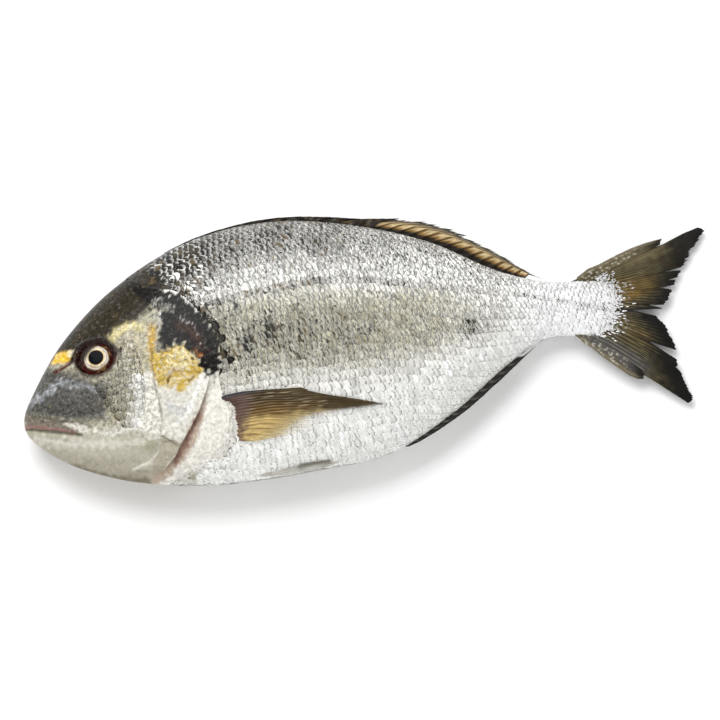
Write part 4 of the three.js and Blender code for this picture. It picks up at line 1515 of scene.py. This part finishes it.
# %% Fins of the sides
PECTORAL_GUIDES = [
    (0.00, [(-68, -22.9), (-54.8, -22.3), (-47, -22.8), (-38.7, -23.5), (-30.9, -23.9)]),
    (0.10, [(-67, -24.6), (-50, -23.8), (-38, -24.8), (-30, -25.8), (-22.9, -27.3)]),
    (0.22, [(-64.6, -26), (-48, -25.8), (-34, -27.4), (-20, -29.6), (-9.8, -30.8)]),
    (0.34, [(-63, -28), (-46, -27.8), (-30, -29.6), (-14, -31.6), (0.3, -33.6)]),
    (0.44, [(-63, -29.8), (-44, -29.6), (-26, -31.4), (-10, -33.2), (4.8, -34.8)]),
    (0.54, [(-63, -31.6), (-44, -31.4), (-26, -32.8), (-14, -34.2), (-4.2, -35.5)]),
    (0.62, [(-63, -33.2), (-46, -32.8), (-32, -34), (-22, -35), (-14, -35.6)]),
    (0.70, [(-63, -34.6), (-48, -34.4), (-36, -35.8), (-28, -37), (-20, -38.6)]),
    (0.80, [(-63.4, -36.2), (-50, -36.4), (-40, -37.8), (-33, -39), (-26.9, -40)]),
    (0.90, [(-64.2, -38.2), (-53, -39), (-45, -40.4), (-40, -41.4), (-35, -42.2)]),
    (1.00, [(-65.2, -40.2), (-57.5, -42.4), (-53, -43), (-48.4, -42.8)]),
]
PELVIC_GUIDES = [
    (0.0, [(-56, -55.0), (-49, -54.6), (-42, -53.6), (-34, -52.9), (-26, -52.9), (-16.5, -54.2)]),
    (0.3, [(-56, -55.4), (-48, -55.2), (-38, -54.4), (-27, -54), (-18, -54.6)]),
    (0.6, [(-56, -55.8), (-48, -56), (-38, -55.8), (-30, -55.6), (-23, -55.5)]),
    (1.0, [(-56, -56.2), (-48, -57), (-42, -57.3), (-37, -57.3), (-32, -56.8)]),
]


def paint_pectoral(flat, across, along, profile):
    """Brown-black upper rays with painted white glints, golden lower ones, purple-brown at the root."""
    colours = plain_colour(flat, "#bfa56c")
    upper = 1 - fade(across + 0.05 * ripple(flat, 8, 71), 0.52, 0.74)
    colours = lay(colours, "#46371d", upper)
    colours = lay(colours, "#80602c", upper * 0.8 * fade(across, 0.22, 0.58) * (1 - fade(along, 0.3, 0.75)))
    colours = lay(colours, "#15100a", upper * (1 - profile) ** 2 * 0.7)
    colours = lay(colours, "#96835c", upper * profile ** 2 * 0.45 * (0.5 + 0.5 * ripple(flat, 7, 72)))
    # Painted highlights: pale glints laid along the dark upper rays.
    painted_glint = fade(ripple(flat * [0.7, 15], 13, 73), 0.46, 0.66) * upper * fade(along, 0.05, 0.15)
    colours = lay(colours, "#c3b89c", painted_glint * (1 - fade(along, 0.6, 0.85)) * 0.6)
    colours = lay(colours, "#7d6330", (1 - upper) * profile ** 3 * 0.75)
    colours = lay(colours, "#e4d3a2", (1 - upper) * fade(along, 0.45, 0.9) * 0.7)
    edge = -52.2 - 0.35 * (-flat[:, 1] - 28).clip(0, 20)
    root = 1 - fade(flat[:, 0] + 2.2 * ripple(flat, 5, 74), edge - 3.4, edge + 1.6)
    colours = lay(colours, "#5f4a45", root * (0.8 + 0.2 * ripple(flat, 2.5, 75)))
    top = (1 - fade(across, 0.02, 0.12)) * (1 - fade(flat[:, 0], -52, -44))
    colours = lay(colours, "#35343a", top)
    start = -43 + 1.7 * (flat[:, 1] + 36)
    thinning = fade(flat[:, 0], start - 4, start + 26) * fade(flat[:, 1], -33.2, -36.4)
    return colours, np.clip(thinning * (1.2 - 0.7 * profile ** 2), 0, 1)


def paint_pelvic(flat, across, along, profile):
    """Pale grey web with a darker streak, and a red tinge at the root."""
    colours = lay(plain_colour(flat, "#dcdad2"), "#b4b1a2", 0.6 * (1 - profile))
    streak = bump(line_distance(flat, [(-36, -54.6), (-30, -53.9), (-23, -53.9)]), 0.9)
    colours = lay(colours, "#56523f", 0.8 * streak)
    colours = lay(colours, "#94776a", 0.4 * (1 - fade(along + 0.15 * ripple(flat, 4, 66), 0.02, 0.32)))
    clear = 0.85 - 0.6 * bump(across - 0.5, 0.3) - 0.3 * streak + 0.5 * (1 - fade(along, 0, 0.14))
    return colours, np.clip(clear, 0, 1)


for word, side in SIDES.items():
    pectoral, flat, across, along, profile = make_fin(
        f"{word}_pectoral_web", PECTORAL_GUIDES, on_flank(side, 1.15, -62), rays=15, columns=180, rows=60,
        web=0.25, ray=0.6, split=0.5, teeth=0.03, seed=57, notches=((0.06, 0.05, 0.01), (0.16, 0.06, 0.01)))
    paint_fin(pectoral, *paint_pectoral(flat, across, along, profile))
    dress(pectoral, golden_web, "golden_fin", f"{word}_pectoral_fin")
    pelvic, flat, across, along, profile = make_fin(
        f"{word}_pelvic_web", PELVIC_GUIDES, on_flank(side, 0.8, -54), rays=6, columns=60, rows=60,
        web=0.4, ray=0.5, split=0.5, teeth=0.03, seed=58)
    paint_fin(pelvic, *paint_pelvic(flat, across, along, profile))
    dress(pelvic, pale_web, "pale_fin", f"{word}_pelvic_fin")
